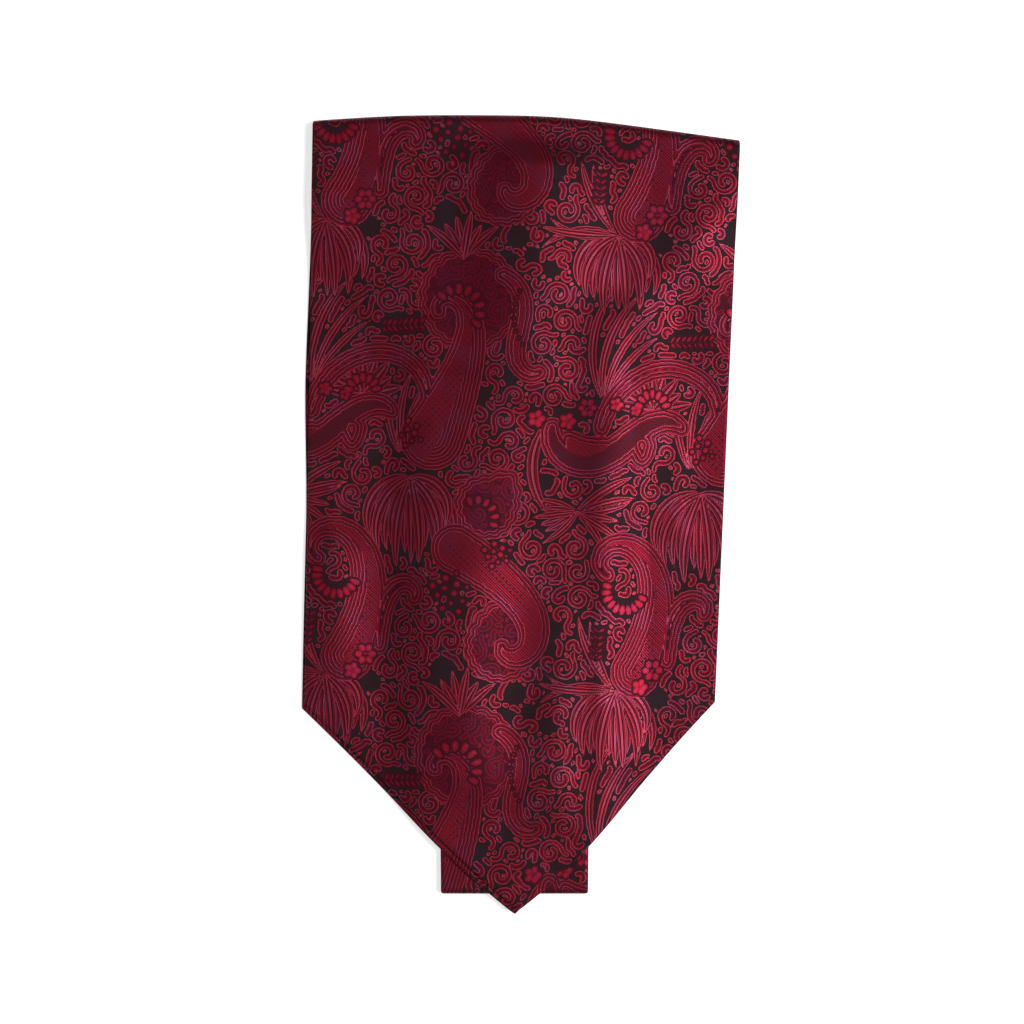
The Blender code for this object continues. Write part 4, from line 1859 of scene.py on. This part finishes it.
@dataclass(frozen=True)
class ThreadSilk:
    """Sewing thread: two dark red plies twisted together, banded lighter on their crowns and darker in the grooves
    between them as painted light and painted shade.
    """

    name: str = "sewing_thread"
    # the pale colour is painted light on the plies' crowns; the next colour is painted shade in the grooves between
    # them
    pale: tuple[float, float, float] = (0.100, 0.0060, 0.0160)
    groove_shade: tuple[float, float, float] = (0.035, 0.0020, 0.0060)
    twist: float = 5200.0
    relief: float = 0.00003

    def build(self) -> bpy.types.Material:
        """Makes the material."""
        material = bpy.data.materials.new(self.name)
        material.use_nodes = True
        tree = material.node_tree
        shader = tree.nodes["Principled BSDF"]
        place = tree.nodes.new("ShaderNodeTexCoord")
        plies = tree.nodes.new("ShaderNodeTexWave")
        plies.bands_direction = "DIAGONAL"
        plies.inputs["Scale"].default_value = self.twist
        tree.links.new(place.outputs["Object"], plies.inputs["Vector"])
        # the bands run from painted shade in the grooves to painted light on the crowns, along the same wave as the
        # bump
        ramp = tree.nodes.new("ShaderNodeValToRGB")
        for element, colour in zip(ramp.color_ramp.elements, (self.groove_shade, self.pale)):
            element.color = (*colour, 1)
        tree.links.new(plies.outputs["Fac"], ramp.inputs[0])
        tree.links.new(ramp.outputs[0], shader.inputs["Base Color"])
        rough = Value(tree, plies.outputs["Fac"]) * -0.15 + 0.6
        plug(tree, shader.inputs["Roughness"], rough)
        bump = tree.nodes.new("ShaderNodeBump")
        bump.inputs["Distance"].default_value = self.relief
        tree.links.new(plies.outputs["Fac"], bump.inputs["Height"])
        tree.links.new(bump.outputs[0], shader.inputs["Normal"])
        return material


@dataclass(frozen=True)
class StitchTree:
    """The Geometry Nodes that set stitches along a path of edges."""

    spacing: float = 0.0036
    length: float = 0.0017
    thickness: float = 0.00028
    slant: float = 0.35
    seed: int = 5
    segments: int = 8
    rings: int = 6

    @property
    def inputs(self) -> dict[str, float]:
        """The tree's named sizes."""
        return {
            "Spacing": self.spacing,
            "Length": self.length,
            "Thickness": self.thickness,
            "Slant": self.slant,
            "Seed": self.seed,
        }

    def build(self, material: bpy.types.Material) -> bpy.types.NodeTree:
        """Makes the tree.

        Args:
            material: The thread's finish.

        Returns:
            The tree, whose last nodes are Realize Instances and Set Material.
        """
        tree = bpy.data.node_groups.new("stitches along a path", "GeometryNodeTree")
        tree.interface.new_socket("Geometry", in_out="INPUT", socket_type="NodeSocketGeometry")
        for name in self.inputs:
            kind = "NodeSocketInt" if name == "Seed" else "NodeSocketFloat"
            tree.interface.new_socket(name, in_out="INPUT", socket_type=kind)
        tree.interface.new_socket("Geometry", in_out="OUTPUT", socket_type="NodeSocketGeometry")
        given = tree.nodes.new("NodeGroupInput").outputs
        path = tree.nodes.new("GeometryNodeMeshToCurve")
        tree.links.new(given["Geometry"], path.inputs["Mesh"])
        spaced = tree.nodes.new("GeometryNodeResampleCurve")
        spaced.mode = "LENGTH"
        tree.links.new(path.outputs["Curve"], spaced.inputs["Curve"])
        tree.links.new(given["Spacing"], spaced.inputs["Length"])
        stitch = tree.nodes.new("GeometryNodeMeshUVSphere")
        stitch.inputs["Segments"].default_value = self.segments
        stitch.inputs["Rings"].default_value = self.rings
        stitch.inputs["Radius"].default_value = 0.5
        size = tree.nodes.new("ShaderNodeCombineXYZ")
        for axis, name in (("X", "Thickness"), ("Y", "Thickness"), ("Z", "Length")):
            tree.links.new(given[name], size.inputs[axis])
        tangent = tree.nodes.new("GeometryNodeInputTangent")
        lean = tree.nodes.new("FunctionNodeRandomValue")
        lean.data_type = "FLOAT"
        plug(tree, lean.inputs[2], Value(tree, given["Slant"]) * 0.6)
        plug(tree, lean.inputs[3], Value(tree, given["Slant"]) * 1.4)
        tree.links.new(given["Seed"], lean.inputs["Seed"])
        split = tree.nodes.new("ShaderNodeSeparateXYZ")
        tree.links.new(tangent.outputs[0], split.inputs[0])
        along_x, along_y = Value(tree, split.outputs[0]), Value(tree, split.outputs[1])
        share = Value(tree, lean.outputs[1])
        across = tree.nodes.new("ShaderNodeCombineXYZ")
        plug(tree, across.inputs["X"], along_y * -1.0 + along_x * share)
        plug(tree, across.inputs["Y"], along_x + along_y * share)
        turned = tree.nodes.new("FunctionNodeAlignRotationToVector")
        turned.axis = "Z"
        tree.links.new(across.outputs[0], turned.inputs["Vector"])
        placed = tree.nodes.new("GeometryNodeInstanceOnPoints")
        tree.links.new(spaced.outputs["Curve"], placed.inputs["Points"])
        tree.links.new(stitch.outputs["Mesh"], placed.inputs["Instance"])
        tree.links.new(turned.outputs[0], placed.inputs["Rotation"])
        tree.links.new(size.outputs[0], placed.inputs["Scale"])
        real = tree.nodes.new("GeometryNodeRealizeInstances")
        dressed = tree.nodes.new("GeometryNodeSetMaterial")
        dressed.inputs["Material"].default_value = material
        tree.links.new(placed.outputs[0], real.inputs[0])
        tree.links.new(real.outputs[0], dressed.inputs["Geometry"])
        out = tree.nodes.new("NodeGroupOutput")
        tree.links.new(dressed.outputs[0], out.inputs[0])
        return tree


@dataclass(frozen=True)
class Stitches:
    """The hidden stitches: slip stitches that close the neckband, and the tack line across its head."""

    name: str = "neckband_stitches"
    seam_z: float = 0.30
    tack_z: float = 0.28
    seam_margin: float = 7.0
    tack_margin: float = 2.4
    path_step: float = 2.0

    def path(self) -> tuple[list[tuple[float, float, float]], list[tuple[int, int]]]:
        """The two lines of stitching.

        Returns:
            Their points in metres, and their edges.
        """
        foot, head = LIE.band_fold_y + self.seam_margin, LIE.throat_y - self.seam_margin
        reach = LIE.band_half_width - self.tack_margin
        seam = [(LIE.band_middle_x, y, self.seam_z) for y in np.arange(foot, head, self.path_step)]
        tack_x = np.arange(-reach, reach, self.path_step) + LIE.band_middle_x
        tack = [(x, LIE.throat_y, self.tack_z) for x in tack_x]
        points = [tuple(value * MM for value in point) for point in seam + tack]
        edges = [(n, n + 1) for n in range(len(points) - 1) if n != len(seam) - 1]
        return points, edges

    def build(self, material: bpy.types.Material) -> bpy.types.Object:
        """Makes the stitches as one plain mesh and ties them to the frame.

        Args:
            material: The thread's finish.

        Returns:
            The stitches' object.
        """
        settings = StitchTree()
        tree = settings.build(material)
        points, edges = self.path()
        line = bpy.data.meshes.new("stitch_path")
        line.from_pydata(points, edges, [])
        guide = bpy.data.objects.new("stitch_path", line)
        bpy.context.scene.collection.objects.link(guide)
        modifier = guide.modifiers.new("stitches", "NODES")
        modifier.node_group = tree
        for item in tree.interface.items_tree:
            if item.item_type == "SOCKET" and item.in_out == "INPUT" and item.name in settings.inputs:
                modifier[item.identifier] = settings.inputs[item.name]
        seen = guide.evaluated_get(bpy.context.evaluated_depsgraph_get())
        mesh = bpy.data.meshes.new_from_object(seen)
        guide.modifiers.remove(modifier)
        bpy.data.objects.remove(guide)
        mesh.shade_smooth()
        piece = bpy.data.objects.new(self.name, mesh)
        bpy.context.scene.collection.objects.link(piece)
        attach(piece, BODY)
        log.info("%s: %d faces", piece.name, len(mesh.polygons))
        return piece


@dataclass(frozen=True)
class Studio:
    """The pale table, the soft lights and the camera straight above."""

    camera_x: float = -0.00326
    camera_y: float = 0.00077
    camera_z: float = 0.932
    lens: float = 85.0
    floor_size: float = 6.0
    floor_tone: float = 0.55
    floor_glow: float = 0.62

    def floor(self) -> None:
        """Makes the plain pale top of a light table, which keeps the shadows faint."""
        half = self.floor_size / 2
        mesh = bpy.data.meshes.new("table_top")
        mesh.from_pydata([(-half, -half, 0), (half, -half, 0), (half, half, 0), (-half, half, 0)], [], [(0, 1, 2, 3)])
        material = bpy.data.materials.new("pale_table")
        material.use_nodes = True
        shader = material.node_tree.nodes["Principled BSDF"]
        shader.inputs["Base Color"].default_value = (self.floor_tone, self.floor_tone, self.floor_tone, 1)
        shader.inputs["Roughness"].default_value = 0.9
        shader.inputs["Emission Color"].default_value = (1, 1, 1, 1)
        shader.inputs["Emission Strength"].default_value = self.floor_glow
        mesh.materials.append(material)
        table = bpy.data.objects.new("table_top", mesh)
        bpy.context.scene.collection.objects.link(table)

    def light(self, name: str, place: tuple[float, float, float], size: float, power: float) -> None:
        """Makes one soft square light that points at the cravat.

        Args:
            name: The light's name.
            place: Where it stands, in metres.
            size: Its side, in metres.
            power: Its power in watts.
        """
        data = bpy.data.lights.new(name, "AREA")
        data.size, data.energy = size, power
        lamp = bpy.data.objects.new(name, data)
        lamp.location = place
        lamp.rotation_euler = (-Vector(place)).to_track_quat("-Z", "Y").to_euler()
        bpy.context.scene.collection.objects.link(lamp)

    def camera(self) -> None:
        """Makes the camera, looking straight down."""
        data = bpy.data.cameras.new("camera")
        data.lens, data.sensor_width = self.lens, 36.0
        camera = bpy.data.objects.new("camera", data)
        camera.location = (self.camera_x, self.camera_y, self.camera_z)
        bpy.context.scene.collection.objects.link(camera)
        bpy.context.scene.camera = camera

    def build(self) -> None:
        """Sets up the whole studio."""
        self.floor()
        self.light("key", (0.92, -0.02, 1.50), 0.60, 37.0)
        self.light("fill", (-0.8, -0.3, 1.3), 1.2, 5.5)
        world = bpy.data.worlds.new("studio")
        world.use_nodes = True
        world.node_tree.nodes["Background"].inputs[0].default_value = (1, 1, 1, 1)
        world.node_tree.nodes["Background"].inputs[1].default_value = 0.17
        bpy.context.scene.world = world
        bpy.context.scene.view_settings.view_transform = "Standard"
        self.camera()


def main() -> None:
    """Builds the cravat and its studio."""
    logging.basicConfig(level=logging.INFO, format="%(message)s")
    weave = FigureNodes().build()
    stitches = Stitches().build(ThreadSilk().build())
    Neckband().build(FiguredSilk("band_silk", unevenness=0.34).build(weave), stitches)
    PleatLayers().build(FiguredSilk("pleat_silk", unevenness=0.36).build(weave))
    Blade(
        name="back_blade_cloth",
        node="back_blade",
        slot="back_silk",
        outline=BACK_OUTLINE,
        surface=LIE.back_surface,
        turn_radius=LIE.back_turn,
        columns=132,
        rows=252,
        cut=Cut(0.160, 0.312, 0.0445, ("pleat_stack", "neckband")),
        turn_steps=12,
        left_show=1.6,
        bulges=(1.6, 0.0),
    ).build(FiguredSilk("back_silk", unevenness=0.32).build(weave))
    FrontBlade(
        name="front_blade_cloth",
        node="front_blade",
        slot="front_silk",
        outline=FRONT_OUTLINE,
        surface=LIE.front_surface,
        turn_radius=LIE.front_turn,
        columns=208,
        rows=360,
        cut=Cut(0.166, 0.408, 0.0590, ("back_blade", "pleat_stack")),
        bulges=(1.2, 2.6),
        creases=FINE_CREASES,
    ).build(FiguredSilk("front_silk").build(weave))
    Studio().build()


if __name__ == "__main__":
    main()
